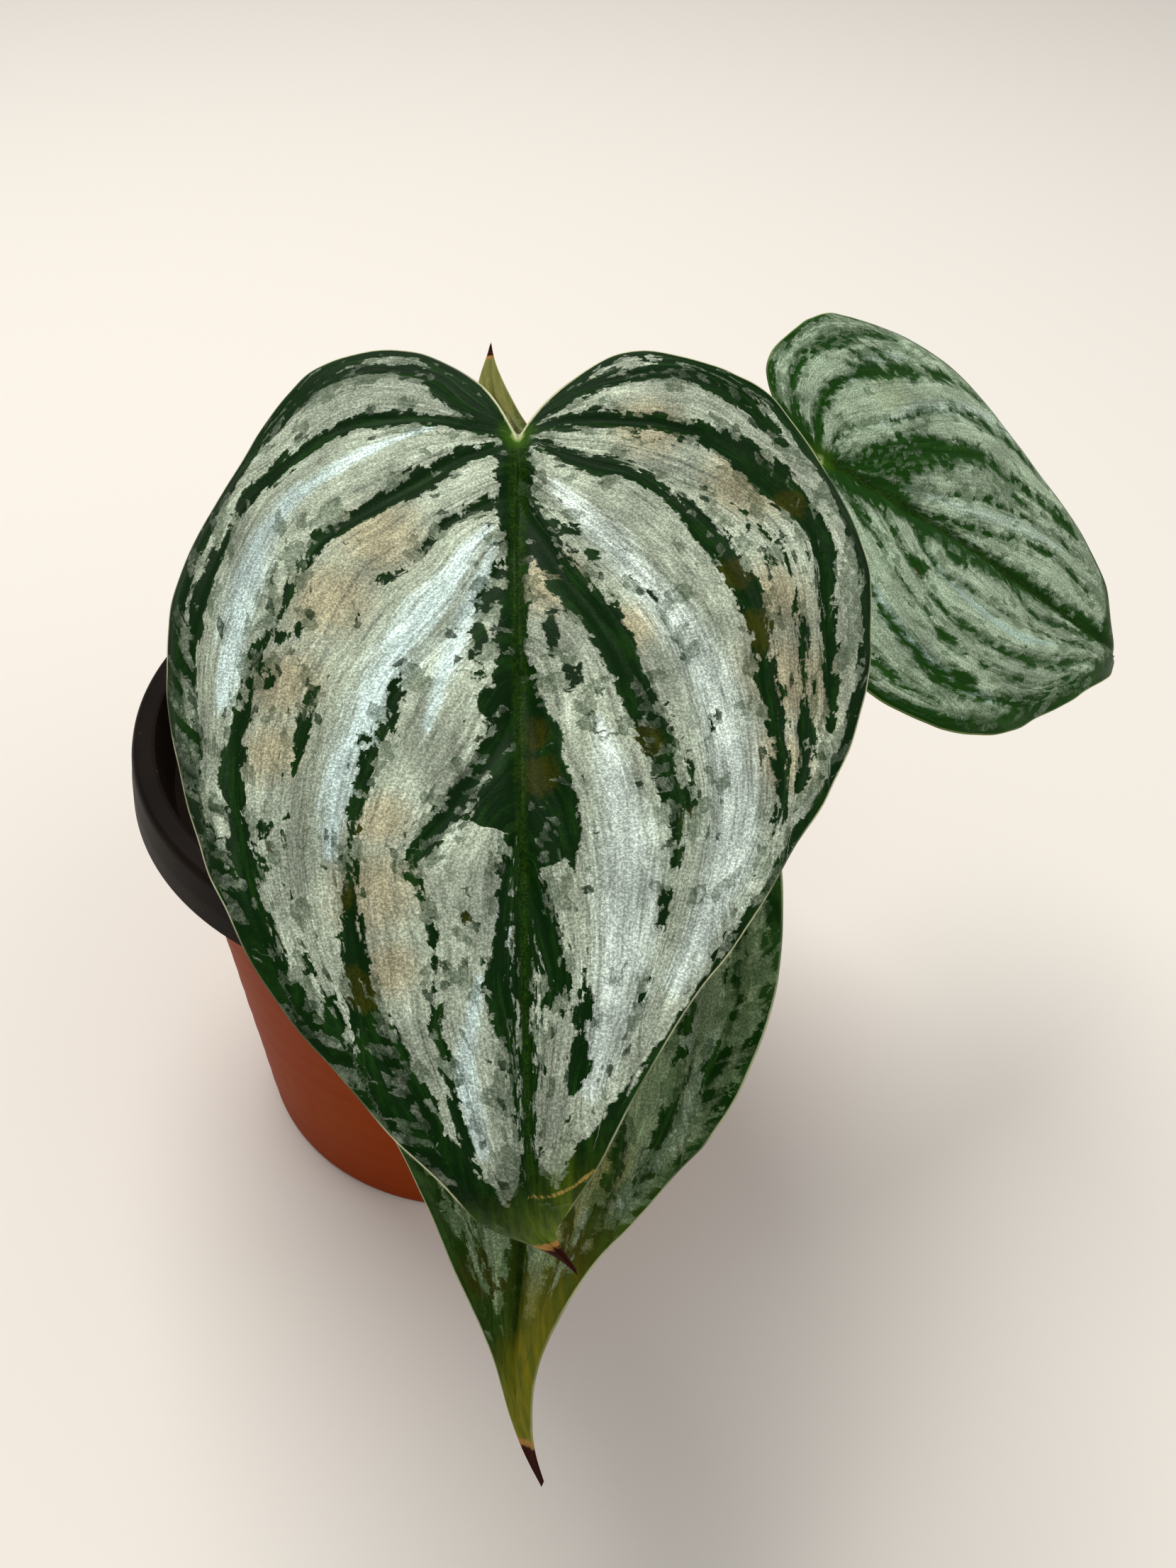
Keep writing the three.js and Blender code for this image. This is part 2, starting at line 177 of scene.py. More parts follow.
def makePiece(name, points, faces, materials, replaced, attributes, maps=None, faceMaterial=None):
    # points in millimetres as an array; faces is a list of arrays of corner numbers, one array a face size
    mesh = bpy.data.meshes.new(name)
    mesh.vertices.add(len(points))
    mesh.vertices.foreach_set("co", (np.asarray(points) * mm).astype(np.float32).ravel())
    corners = np.concatenate([f.ravel() for f in faces])
    sizes = np.concatenate([np.full(len(f), f.shape[1]) for f in faces])
    mesh.loops.add(len(corners))
    mesh.loops.foreach_set("vertex_index", corners.astype(np.int32))
    mesh.polygons.add(len(sizes))
    mesh.polygons.foreach_set("loop_start", np.concatenate([[0], np.cumsum(sizes)[:-1]]).astype(np.int32))
    for material in materials:
        mesh.materials.append(material)
    if faceMaterial is not None:
        mesh.polygons.foreach_set("material_index", faceMaterial.astype(np.int32))
    mesh.update(calc_edges=True)
    mesh.polygons.foreach_set("use_smooth", np.ones(len(sizes), bool))
    for title, values in attributes.items():
        layer = mesh.attributes.new(title, "FLOAT", "POINT")
        layer.data.foreach_set("value", values.astype(np.float32).ravel())
    for title, values in (maps or {}).items():
        layer = mesh.uv_layers.new(name=title)
        layer.data.foreach_set("uv", values[corners].astype(np.float32).ravel())
    mesh.validate()
    piece = addObject(name, mesh)
    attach(piece, "root")
    if replaced:
        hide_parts(replaced)
    return piece


# Materials
class Value:
    # what a node gives; sums, differences, products, quotients, powers and "less than" add Math nodes
    def __init__(self, socket):
        self.socket = socket

    def __add__(self, other):
        return calc("ADD", self, other)

    def __sub__(self, other):
        return calc("SUBTRACT", self, other)

    def __rsub__(self, other):
        return calc("SUBTRACT", other, self)

    def __mul__(self, other):
        return calc("MULTIPLY", self, other)

    def __truediv__(self, other):
        return calc("DIVIDE", self, other)

    def __rtruediv__(self, other):
        return calc("DIVIDE", other, self)

    def __pow__(self, other):
        return calc("POWER", self, other)

    def __lt__(self, other):
        return calc("LESS_THAN", self, other)

    def __abs__(self):
        return calc("ABSOLUTE", self)


def treeOf(*values):
    # the node tree that the first Value among them belongs to
    return next(value for value in values if isinstance(value, Value)).socket.id_data


def placeNode(tree, kind, values=None, **settings):
    # a node with these settings, its inputs linked to Values and set to the rest
    made = tree.nodes.new(kind)
    for name, value in settings.items():
        setattr(made, name, value)
    for key, value in (values or {}).items():
        if isinstance(value, Value):
            tree.links.new(value.socket, made.inputs[key])
        else:
            made.inputs[key].default_value = value
    return made


def addNode(tree, kind, values=None, output=0, **settings):
    # the same, as what one of its outputs gives
    return Value(placeNode(tree, kind, values, **settings).outputs[output])


def calc(operation, *numbers):
    # a Math node with this operation
    return addNode(treeOf(*numbers), "ShaderNodeMath", dict(enumerate(numbers)), operation=operation)


def larger(first, second):
    # the larger of the two
    return calc("MAXIMUM", first, second)


def ease(value, low, high, start=0.0, end=1.0):
    # start where the value is low, end where it is high, eased between them
    values = {"Value": value, "From Min": low, "From Max": high, "To Min": start, "To Max": end}
    return addNode(treeOf(value), "ShaderNodeMapRange", values, interpolation_type="SMOOTHSTEP")


def push(value, size):
    # (value - 0.5) * size, so that a pattern from 0 to 1 pushes both ways
    return (value - 0.5) * size


def mixColour(share, first, second, how="MIX"):
    # an input's number stands in for its name, which the node's float, vector and colour inputs share
    tree, values = treeOf(share, first, second), {0: share, 6: first, 7: second}
    return addNode(tree, "ShaderNodeMix", values, 2, data_type="RGBA", blend_type=how)


def vector(x, y, z=0.0):
    # a place made of three numbers
    return addNode(treeOf(x, y), "ShaderNodeCombineXYZ", {0: x, 1: y, 2: z})


def axesOf(place):
    # the three numbers that a place is made of
    split = placeNode(treeOf(place), "ShaderNodeSeparateXYZ", {0: place})
    return [Value(socket) for socket in split.outputs]


def noise(place, scale, detail=3.0, roughness=0.55):
    # cloudy noise round 0.5, as many octaves as the detail
    values = {"Vector": place, "Scale": scale, "Detail": detail, "Roughness": roughness}
    return addNode(treeOf(place), "ShaderNodeTexNoise", values, "Fac")


def cellDistance(place, scale):
    # distance to the nearest of some random points
    return addNode(treeOf(place), "ShaderNodeTexVoronoi", {"Vector": place, "Scale": scale}, "Distance")


def cellShade(place, scale, metric="EUCLIDEAN"):
    # a random number from 0 to 1 for each cell round such a point
    values = {"Vector": place, "Scale": scale}
    colour = addNode(treeOf(place), "ShaderNodeTexVoronoi", values, "Color", distance=metric)
    return addNode(treeOf(place), "ShaderNodeSeparateColor", {0: colour})


def attribute(tree, name):
    # a number that the mesh holds at each point
    return addNode(tree, "ShaderNodeAttribute", output="Fac", attribute_name=name)


def mapAxes(tree, name):
    # the two numbers of a map that the mesh holds
    return axesOf(addNode(tree, "ShaderNodeUVMap", uv_map=name))[:2]


def objectPlace(tree):
    # the place in the piece itself, in metres
    return addNode(tree, "ShaderNodeTexCoord", output="Object")


def newGroup(name, colours, numbers, results):
    # a node group with these inputs; it gives Color and the numbers named in results
    group = bpy.data.node_groups.new(name, "ShaderNodeTree")
    sockets = [("INPUT", colours, "Color"), ("INPUT", numbers, "Float"), ("OUTPUT", ["Color"], "Color"),
               ("OUTPUT", results, "Float")]
    for side, titles, kind in sockets:
        for title in titles:
            group.interface.new_socket(title, in_out=side, socket_type=f"NodeSocket{kind}")
    start = group.nodes.new("NodeGroupInput").outputs
    return group, {title: Value(start[title]) for title in colours + numbers}


def finishedMaterial(name, group, values, bump, shader):
    # the group's colour, roughness and height feed one Principled shader
    material = bpy.data.materials.new(name)
    material.use_nodes = True
    tree = material.node_tree
    principled = tree.nodes["Principled BSDF"]
    for key, value in shader.items():
        principled.inputs[key].default_value = value
    skin = placeNode(tree, "ShaderNodeGroup", values, node_tree=group)
    for result, key in {"Color": "Base Color", "Roughness": "Roughness", "Metallic": "Metallic"}.items():
        if result in skin.outputs:
            tree.links.new(skin.outputs[result], principled.inputs[key])
    height = Value(skin.outputs["Height"])
    raised = {"Height": height, "Strength": bump["strength"], "Distance": bump["distance"]}
    tree.links.new(placeNode(tree, "ShaderNodeBump", raised).outputs[0], principled.inputs["Normal"])
    return material


# Leaf blades
# Places are millimetres on the flat blade, along the midrib from the notch and across it, minus to the left.
# margin: [along, across] from the notch round each lobe to the tip
# veins: [along, across, half the width of the dark band] from the midrib outwards, and on each side from the
#     tip's end of the midrib round to the lobe
# marginBand: the dark border's width at even shares of the margin
# ribBand: the dark green beside the midrib, as [along, width]
# islands: dark spots and short streaks off the veins, as [along, across, half width, half length]
# stains: olive-brown see-through spots, as [along, across, radius]
# warmth: beige areas of the silver, the same
# strips of painted highlight: bright strips on the silver where the light glints off its ridges, over
# slightly paler silver, as [along, across, half width] from end to end
# strips of veil, where the silver thins out and the dark is mottled with silver, the same; on the right
# margin and beside the midrib that mottling is partly painted sheen
# scar: a thin dry line across the tip
# Below, a pair is where a form starts to grow and is full, or starts to fade and is gone, as shares of the
# blade's length from notch to tip.
bladeForm = {
    "rowCrowding": 1.35, "tipStart": 0.78, "swingEnd": 1.12, "swingSize": 1.6,
    "midribSpan": (-0.4, 1.2), "midribSteps": 1601,
    "thickness": 0.5, "marginThickness": 0.3, "thinMargin": 3,
    "midribGroove": 0.45, "midribWidth": 0.95, "keel": 0.75, "keelWidth": 0.8, "rib": 0.3, "ribWidth": 0.45,
    "veinGroove": 0.26, "veinWidth": 0.85, "quilt": 0.1, "quiltMost": 0.85, "ridge": 0.015, "ridges": 3,
    "drift": 0.3, "driftLength": 5, "driftWidth": 4, "marginCurl": 0.35, "curlWidth": 1.6, "flatRim": 4,
    "bumps": 22, "smallBumps": 47, "bumpSize": 1.6, "middle": 0.3,
    "bumpsGrow": (0, 0.12), "bumpsFade": (0.7, 0.85), "reliefFades": (0.8, 0.92),
    "midribFades": (0.75, 0.95), "keelGrows": (-0.01, 0.03), "keelFades": (0.1, 0.95),
    "ribsFade": (0.6, 0.9), "curlGrows": (-0.1, 0.1),
    "mapUnit": 100, "mapVeins": 20,  # one unit of a map is 100 mm, or 20 veins
}

leaf1 = {
    "slot": "leaf_silver", "rows": 250, "columns": 88, "colours": "silver",
    "skin": {"Ragged": 0.56, "Seed": 1.3, "Tip Dry": 0.962, "Tip Yellow": 0.89,
             "Tip Lean": 0.03, "Tip Fade": 0},
    "base": [9.8, -17.1, 126.9], "heading": 3.7, "dip": 18.5, "roll": 3.9, "arch": 17, "tipDroop": 76,
    "tipSwing": 0.6, "fold": 9.8, "cup": 0.016, "length": 90.1, "relief": 0.75, "ruffle": 0.45,
    "wave": {"count": 5, "height": 0.6, "phase": 0.4},
    "hook": {"start": 0.93, "side": 3, "forward": 2.8, "lift": 1.6, "slim": 0.62},
    "margin": {
        "right": [[0, 0], [-5.9, 5], [-10.6, 12.2], [-8.3, 22.1], [-4.4, 29.3], [11.5, 36.4],
                  [25.4, 36.4], [39, 31.9], [53.2, 22.6], [65.2, 13.3], [75.6, 6.6], [81.5, 2.9],
                  [90.1, 0]],
        "left": [[0, 0], [-7.2, 4.3], [-12.3, 12.4], [-10.5, 22.7], [-1.6, 30.2], [12.3, 36.6],
                 [26.4, 37.5], [42.7, 32.8], [57.7, 25.2], [71.8, 13.6], [78.3, 7.1], [85.4, 3.2],
                 [90.1, 0]],
    },
    "veins": {
        "right": [
            [[50, 0.3, 1], [54, 1.3, 1.4], [57.5, 2.2, 1.3], [60, 2.8, 1.1], [62, 2.6, 0.4],
             [66, 1.8, 0.15], [74, 1, 0]],
            [[30, 0.4, 0.9], [35, 1.4, 1.9], [40, 2, 2.4], [44, 3.6, 2.1], [48, 4.4, 1.5], [50, 4.8, 0.3],
             [53, 5.2, 0.05], [58, 5.6, 0.05], [62, 5.4, 0.3], [65.5, 5.1, 0.7], [68.5, 4.4, 0.9],
             [70.5, 4, 0.2], [76, 2.6, 0]],
            [[9.5, 0.4, 1.2], [12, 1.3, 1.3], [15, 2.7, 1.5], [17.7, 4, 1.6], [20, 5.1, 1.8],
             [22.5, 6.7, 1.8], [25, 8.2, 1.8], [27.5, 9.5, 1.6], [30.2, 10.5, 1.6], [33, 11.3, 1.7],
             [35.5, 12, 1.7], [38, 13, 1.3], [41, 13.9, 1.1], [44, 14.6, 0.8], [47, 14.6, 0.6],
             [50, 14.2, 0.3], [59.3, 11.6, 0.15], [70, 7.6, 0]],
            [[6, 0.3, 0], [8, 1.5, 0], [11, 4, 0.1], [15, 7.3, 0.1], [20, 11.7, 0.15], [24, 14.6, 0.15],
             [28, 16.4, 0.1], [36, 18.4, 0.1], [46, 18.6, 0], [56, 15.8, 0], [64, 12, 0]],
            [[0.8, 0.6, 0.3], [2.5, 3.2, 0.7], [4.8, 6.5, 1.2], [6, 9, 1.4], [7, 11.8, 1.2],
             [9, 14.4, 0.8], [11, 16.4, 1], [13.1, 18, 1.2], [15.2, 19.6, 1.4], [17.3, 20.9, 1.5],
             [19.5, 22, 1.5], [22, 23, 1.3], [25, 23.8, 1.3], [28, 24.2, 0.8], [31, 24.2, 0.7],
             [34, 24.6, 1], [37.3, 24.8, 0.9], [40, 25, 0.9], [43, 24.8, 0.6], [46.4, 24, 0.3],
             [54, 20, 0]],
            [[0.3, 0.6, 0.1], [2.4, 3.8, 0.1], [4.5, 10, 0.1], [7, 16, 0], [10.5, 22.4, 0.1],
             [13.5, 25.4, 0.3], [18, 27.8, 0.2], [25, 28.4, 0.3], [33, 28, 0.4], [39, 27.4, 0.5],
             [46, 25.6, 0.1]],
            [[-0.2, 0.6, 0.5], [-0.5, 3.2, 0.9], [-0.5, 7.3, 1.2], [-0.2, 10.7, 1.2], [0.2, 13.6, 1],
             [0.8, 16.9, 1.2], [1.6, 19.8, 1.5], [3.2, 22.3, 1.9], [5, 24.6, 2.2], [7.4, 26.8, 2.3],
             [9.8, 28.8, 2.1], [12, 30.3, 1.7], [14.5, 31.3, 1.4], [17.7, 31.6, 1.2], [22, 31.4, 1],
             [26, 31.2, 0.7], [31, 31, 0.5], [36, 30.4, 0.2]],
            [[-0.8, 0.7, 0.8], [-3.4, 4, 1.5], [-5.3, 7.5, 1.2], [-6.2, 11, 1.1], [-7, 15, 1.3],
             [-7, 19, 1.6], [-5.6, 22.5, 1.7], [-3.4, 25.3, 1.3], [-0.6, 28, 1]],
        ],
        "left": [
            [[47, 0.4, 0.9], [52, 1.5, 0.5], [56, 2, 0.9], [60, 2.3, 1.5], [63, 1.9, 1.4], [66, 1.5, 0.6],
             [74, 0.9, 0.2]],
            [[33, 0.4, 1.2], [36, 1.4, 1.3], [39, 3, 1.2], [42, 5, 1.1], [45, 7.2, 1], [47.5, 9.2, 1.1],
             [49.6, 10.2, 0.6], [53, 9.2, 0.15], [56, 8.3, 0.3], [60, 8.1, 0.3], [64, 8, 0.4],
             [68, 7, 0.4], [72, 6, 0.5], [78, 4, 0.3]],
            [[15, 0.4, 0.4], [18, 2, 0.3], [24, 5.4, 0.1], [29, 9.6, 0.1], [31.5, 11.6, 0.5],
             [35, 12.9, 0.6], [38, 14, 0.6], [41, 15, 0.4], [46, 15.8, 0.4], [50, 16, 0.6], [53, 16, 0.8],
             [57, 15.4, 0.9], [60, 14.8, 1.1], [63, 14.2, 1.5], [66, 13.2, 2], [69, 11.6, 2.3],
             [73, 9, 1.6]],
            [[8.4, 0.4, 0.7], [9.3, 2.3, 0.7], [11, 5, 0.8], [12.5, 7.2, 0.4], [14.8, 9, 0.3],
             [16.4, 10, 0.4], [17.9, 12, 0.2], [19, 13.4, 0.3], [21.4, 14.8, 0.05], [25.6, 17.3, 0.05],
             [29.3, 19.4, 0.15], [31.2, 20.2, 0.4], [33.9, 20.7, 0.6], [36.8, 21.4, 0.45],
             [41, 22.2, 0.05], [46.2, 22.4, 0.15], [52, 21.2, 0.05], [58, 19.4, 0.3], [64, 16.6, 0.9]],
            [[1, 0.6, 0.4], [2.7, 3.2, 0.6], [3.9, 5.7, 1], [5.6, 8.2, 1.3], [7.3, 10.3, 1.4],
             [8.8, 12.8, 1.1], [10.2, 15, 0.9], [11.4, 17, 0.8], [12.6, 19.2, 0.9], [14.2, 21, 0.8],
             [16.4, 22, 0.7], [19, 23.2, 0.4], [22.3, 24.4, 0.5], [25.2, 26, 0.4], [27.7, 27, 0.6],
             [31.4, 27.4, 0.9], [35.2, 28.3, 1.1], [38.5, 28.2, 1], [41.4, 28, 0.9], [45.2, 27.2, 1.1],
             [49.8, 26.2, 1], [53.5, 24.8, 1.2], [58, 22.8, 1]],
            [[0, 0.6, 0.9], [-0.6, 4, 1.4], [-1.2, 8, 1], [-1.5, 11, 0.8], [-1.3, 17.3, 0.6],
             [-0.5, 20.3, 0.9], [1, 23, 0.9], [2.6, 25.3, 0.8], [5.6, 29, 1.1], [8.5, 30.4, 0.7],
             [11.8, 31.6, 0.7], [16, 33, 0.9], [21.4, 33.8, 0.9], [28, 33.8, 0.4], [36, 32.4, 0.3]],
            [[-0.8, 0.7, 1.1], [-4, 5.4, 2.2], [-7.4, 8.6, 1.7], [-9, 12.4, 1.1], [-9.2, 17, 0.9],
             [-8.8, 20, 1], [-6.5, 24, 1.2], [-2.6, 28, 1]],
        ],
    },
    "marginBand": {
        "right": [2.4, 1.8, 0.9, 1.4, 1.8, 1.7, 1.3, 1, 0.6, 0.4, 1.6, 3, 3],
        "left": [3, 3.6, 1.2, 2.2, 2.2, 2.2, 2.6, 2, 2.8, 2.8, 3.2, 3.4, 3.4],
    },
    "ribBand": {
        "right": [[-4, 1.4], [5, 1.4], [10, 1.8], [15, 1.3], [20, 0.8], [26, 0.8], [30, 1.2], [35, 2.2],
                  [40, 3], [45, 4.2], [49, 5], [50.5, 0.9], [55, 1.7], [60, 0.8], [66, 0.6], [76, 0.8],
                  [82, 4]],
        "left": [[-4, 1.6], [5, 2.2], [10, 2.4], [15, 1.3], [20, 1.5], [25, 2.5], [30, 2.4], [35, 2],
                 [38, 1.8], [41, 3.2], [44.5, 4.8], [45.6, 5], [46.4, 1], [52, 0.9], [58, 1], [65, 0.7],
                 [76, 0.8], [82, 4]],
    },
    "islands": [[27, 3.4, 0.5, 2], [31, 5, 0.8, 1.4], [35, 6.9, 0.4, 0.9], [38.5, 14.4, 0.5, 2.5],
                [43.6, 15.7, 0.5, 1.6], [62.5, 2.7, 0.35, 0.6], [29.7, -24.8, 0.6, 0.8],
                [23.6, -21.6, 0.4, 0.8], [24.7, -21.2, 0.35, 0.5], [33.5, -2.9, 1, 1.6],
                [22, -3.4, 0.9, 2], [27, -4, 0.7, 2.4], [14.5, -36, 0.5, 1.4], [45, -24.5, 0.6, 0.9],
                [54.8, -5.2, 0.45, 0.8], [2.8, 17.3, 0.35, 0.4], [1.6, 12.3, 0.5, 0.4],
                [1.6, 28.5, 0.8, 0.8], [13.8, 23.6, 0.5, 0.8], [17.4, 26, 0.7, 1], [12.8, 3.6, 1.2, 0.7],
                [14, 5.4, 1.1, 0.5], [17, 7.4, 1, 0.5], [37, 14.4, 0.5, 0.8], [41, 16, 0.45, 0.9],
                [44.5, 16.4, 0.5, 0.7], [40, -2.6, 1, 2], [43, -3.4, 0.8, 1.6], [52, -25.6, 0.9, 1.2],
                [49, -24, 0.6, 0.8], [68.5, -13, 1.2, 1.6], [28, -25.6, 0.5, 0.9], [25, -23.6, 0.5, 0.8],
                [61.5, 3.4, 0.6, 1.4]],
    "stains": [[45.8, -14.4, 1.7], [41, 1.6, 3], [36.5, 1.2, 2.4], [26, 23.9, 3.2], [19.5, 21.8, 2.6],
               [54.8, -5.2, 1], [52, -16.9, 2], [61, -14, 2.4], [10, 28.6, 2.6], [38, 12, 2.4],
               [46, 16, 1.6], [60, -15.5, 2], [47, -23, 1.4]],
    "warmth": [[14, -14, 7], [21, -19, 7], [30, -23, 6], [37, -24, 5], [45, -13, 4], [52, -13.5, 6],
               [59, -12, 4], [20, 3, 6], [31, 27, 8], [22, 26, 6], [8, 24, 7], [40, 25, 5], [1, 14, 6],
               [26, 11, 4]],
    # painted highlights, where the light glints off the silver's ridges
    "highlightStrips": [
        [[13, -3, 0.8], [19, -6.6, 2.4], [25, -10.4, 3.4], [30, -13, 3.4], [36, -15.4, 3],
         [42, -17.2, 2.4], [48, -17.8, 1]],
        [[15, -2.4, 0.8], [22, -4.6, 1.8], [29, -7, 1.7], [36, -9, 0.8]],
        [[6, -23, 1], [14, -27, 2.8], [22, -28.6, 2.8], [31, -29.6, 1.6]],
        [[0, -9, 0.5], [3, -16, 1.2], [6, -21, 1.4], [10, -25, 0.9]],
        [[52, -1.7, 0.6], [56, -1.8, 1.2], [61, -1.5, 0.6]],
        [[60, -4, 0.6], [68, -5.4, 1.6], [75, -4, 1]],
        [[8, 4, 1], [14, 8.4, 2.4], [21, 13, 3], [29, 17.4, 3.4], [37, 19.6, 3.8], [45, 20, 3.8],
         [53, 18, 3.2], [61, 13.6, 2]],
        [[36, 7.6, 1], [42, 9, 3], [49, 9.8, 4.4], [56, 9.4, 4.6], [63, 7.8, 4], [70, 5.6, 1.8]],
        [[45, 21.6, 1], [50, 20.4, 2], [55, 18, 1]],
    ],
    "veilsAndSheen": [
        [[9, -18, 1], [14, -23, 3.2], [20, -25.6, 3], [27, -27, 2]],
        [[56, -24, 2], [62, -20, 2.6], [70, -14, 2.6], [78, -8, 2]],
        # painted sheen beside the midrib, as mottled silver over the dark
        [[34, -1.6, 1], [40, -4.4, 2.6], [46, -7.6, 2.4], [50, -9.6, 1]],
        [[-8, -10, 1], [-8, -18, 2.6], [-4, -26, 3]],
        [[4, -32, 2], [14, -35, 3], [26, -35.6, 3], [38, -33, 2.6], [50, -28.4, 2], [60, -21, 1.4]],
        [[64, -1.4, 1], [71, -2.6, 2], [78, -2, 2]],
        [[44, 1.6, 1], [50, 3, 2], [56, 3.6, 1]],
        # painted sheen along the right margin, as mottled silver over the dark
        [[0, 27, 1.4], [8, 32, 2.6], [16, 34, 3.4], [24, 34.6, 3.4], [32, 33.6, 3.4], [42, 29.6, 3],
         [52, 23, 1.4]],
        [[-6, 12, 1], [-7, 20, 2], [-4, 27, 2]],
        [[60, -14, 1], [66, -12.6, 2.4], [74, -9, 2.4]],
        [[30, 10.6, 1], [38, 13.4, 2], [46, 13.6, 1.6]],
    ],
    "scar": [[79.3, -0.4], [79, 1.6], [78.2, 3.6], [76.8, 5.6]],
}

leaf2 = {
    "slot": "leaf_silver", "rows": 190, "columns": 56, "colours": "dull",
    "skin": {"Ragged": 0.75, "Seed": 4.1, "Tip Dry": 0.936, "Tip Yellow": 0.79,
             "Tip Lean": 0.075, "Tip Fade": 0.3},
    "base": [18.1, -30.8, 102.8], "heading": -7.9, "dip": 44.2, "roll": 18.2, "arch": 9.7, "tipDroop": 20,
    "tipSwing": 2.4, "fold": 19.5, "cup": 0.012, "length": 92, "relief": 0.8, "ruffle": 0.25,
    "wave": {"count": 5, "height": 0.6, "phase": 2.1},
    "hook": {"start": 0.93, "side": 0.4, "forward": 0, "lift": 0, "slim": 0.25},
    "margin": {
        "right": [[0, 0], [-5.4, 3.3], [-11.2, 9.3], [-10.3, 16.4], [-2.9, 23.1], [12.3, 25.9],
                  [27.2, 27.5], [40.9, 24.4], [52.5, 16.7], [62.6, 9.3], [73.5, 4], [83, 1.5], [92, 0]],
        "left": [[0, 0], [-5.4, 3.3], [-11.2, 9.3], [-10.3, 16.4], [-2.7, 23], [10.8, 26.9], [25, 27.4],
                 [43, 24.1], [53.2, 16], [64.2, 8.6], [74, 3.2], [83, 1.2], [92, 0]],
    },
    "veins": {
        "right": [
            [[34, 0.4, 0.5], [40, 3, 0.6], [48, 6, 0.4], [58, 6.4, 0.5], [68, 3.6, 0.4], [76, 1.6, 0]],
            [[16, 0.4, 0.8], [22, 4, 0.9], [30, 8.6, 0.6], [40, 12.2, 0.5], [50, 12, 0.6], [60, 8.4, 0.5],
             [68, 5, 0.4]],
            [[4, 0.4, 0.8], [8, 5, 1], [14, 10.5, 0.8], [22, 15.4, 0.6], [32, 18.6, 0.5], [42, 18.2, 0.6],
             [52, 14.4, 0.5]],
            [[1, 0.6, 0.8], [2, 5, 0.9], [6, 12, 0.8], [13, 18.6, 0.7], [22, 22.6, 0.5], [32, 23.4, 0.5],
             [40, 21.4, 0.5]],
            [[-0.6, 0.6, 0.8], [-3.6, 5, 0.9], [-4.4, 10, 0.6], [-2, 16, 0.8], [3, 21.4, 0.8],
             [9, 24, 0.8]],
        ],
        "left": [
            [[36, 0.4, 0.5], [42, 3, 0.6], [50, 5.6, 0.4], [60, 5.4, 0.4], [70, 2.6, 0.4], [78, 1, 0]],
            [[18, 0.4, 0.8], [24, 4, 0.9], [32, 8.4, 0.6], [42, 11.6, 0.5], [52, 11, 0.6], [62, 7, 0.4],
             [70, 3.8, 0.3]],
            [[4, 0.4, 0.8], [8.4, 5, 1], [15, 10.8, 0.8], [24, 16, 0.6], [34, 18.4, 0.6], [44, 17.4, 0.6],
             [54, 12.6, 0.4]],
            [[1, 0.6, 0.8], [2, 5, 0.9], [6.4, 12, 0.8], [13, 18.6, 0.7], [23, 22.8, 0.5],
             [34, 23.6, 0.5], [42, 21, 0.5]],
            [[-0.6, 0.6, 0.8], [-3.6, 5, 0.9], [-4.6, 10, 0.6], [-2, 16, 0.8], [3, 21.6, 0.8],
             [9, 24.4, 0.8]],
        ],
    },
    "marginBand": {
        "right": [2, 2, 1.4, 1.6, 2, 2, 1, 0.7, 0.8, 2.2, 3, 3, 3],
        "left": [2, 2, 1.4, 1.6, 2, 2.4, 2.4, 2.6, 2.8, 2.2, 3, 3, 3],
    },
    "ribBand": {
        "right": [[-4, 1.4], [10, 1.8], [30, 1], [60, 0.8], [74, 3], [92, 4]],
        "left": [[-4, 1.4], [10, 1.8], [30, 1], [60, 0.8], [76, 3], [92, 4]],
    },
    "islands": [[33, 14, 0.5, 2], [20, -12, 0.5, 2], [46, -8, 0.4, 1.6], [47, 9, 0.4, 1.8],
                [56, 11, 0.4, 2]],
    "stains": [[60, 6, 5], [66, -4, 4], [56, 3, 3]],
    "warmth": [[58, 8, 7], [50, 10, 6], [20, -14, 7], [70, 5, 9]],
    "highlightStrips": [
        [[56, 9, 1], [64, 7, 2], [72, 3.6, 1.2]],
        [[10, 10, 1], [24, 18, 2.4], [36, 19, 1.6]],
        [[34, 22, 1], [44, 19, 2], [54, 13, 1.6]],
        [[10, -10, 1], [24, -18, 2.4], [36, -18, 1.6]],
    ],
    "veilsAndSheen": [
        [[10, 22, 2], [26, 25, 3.4], [42, 22, 3.4], [56, 12, 3]],
        [[10, -22, 2], [26, -25, 3], [42, -22, 3]],
    ],
}

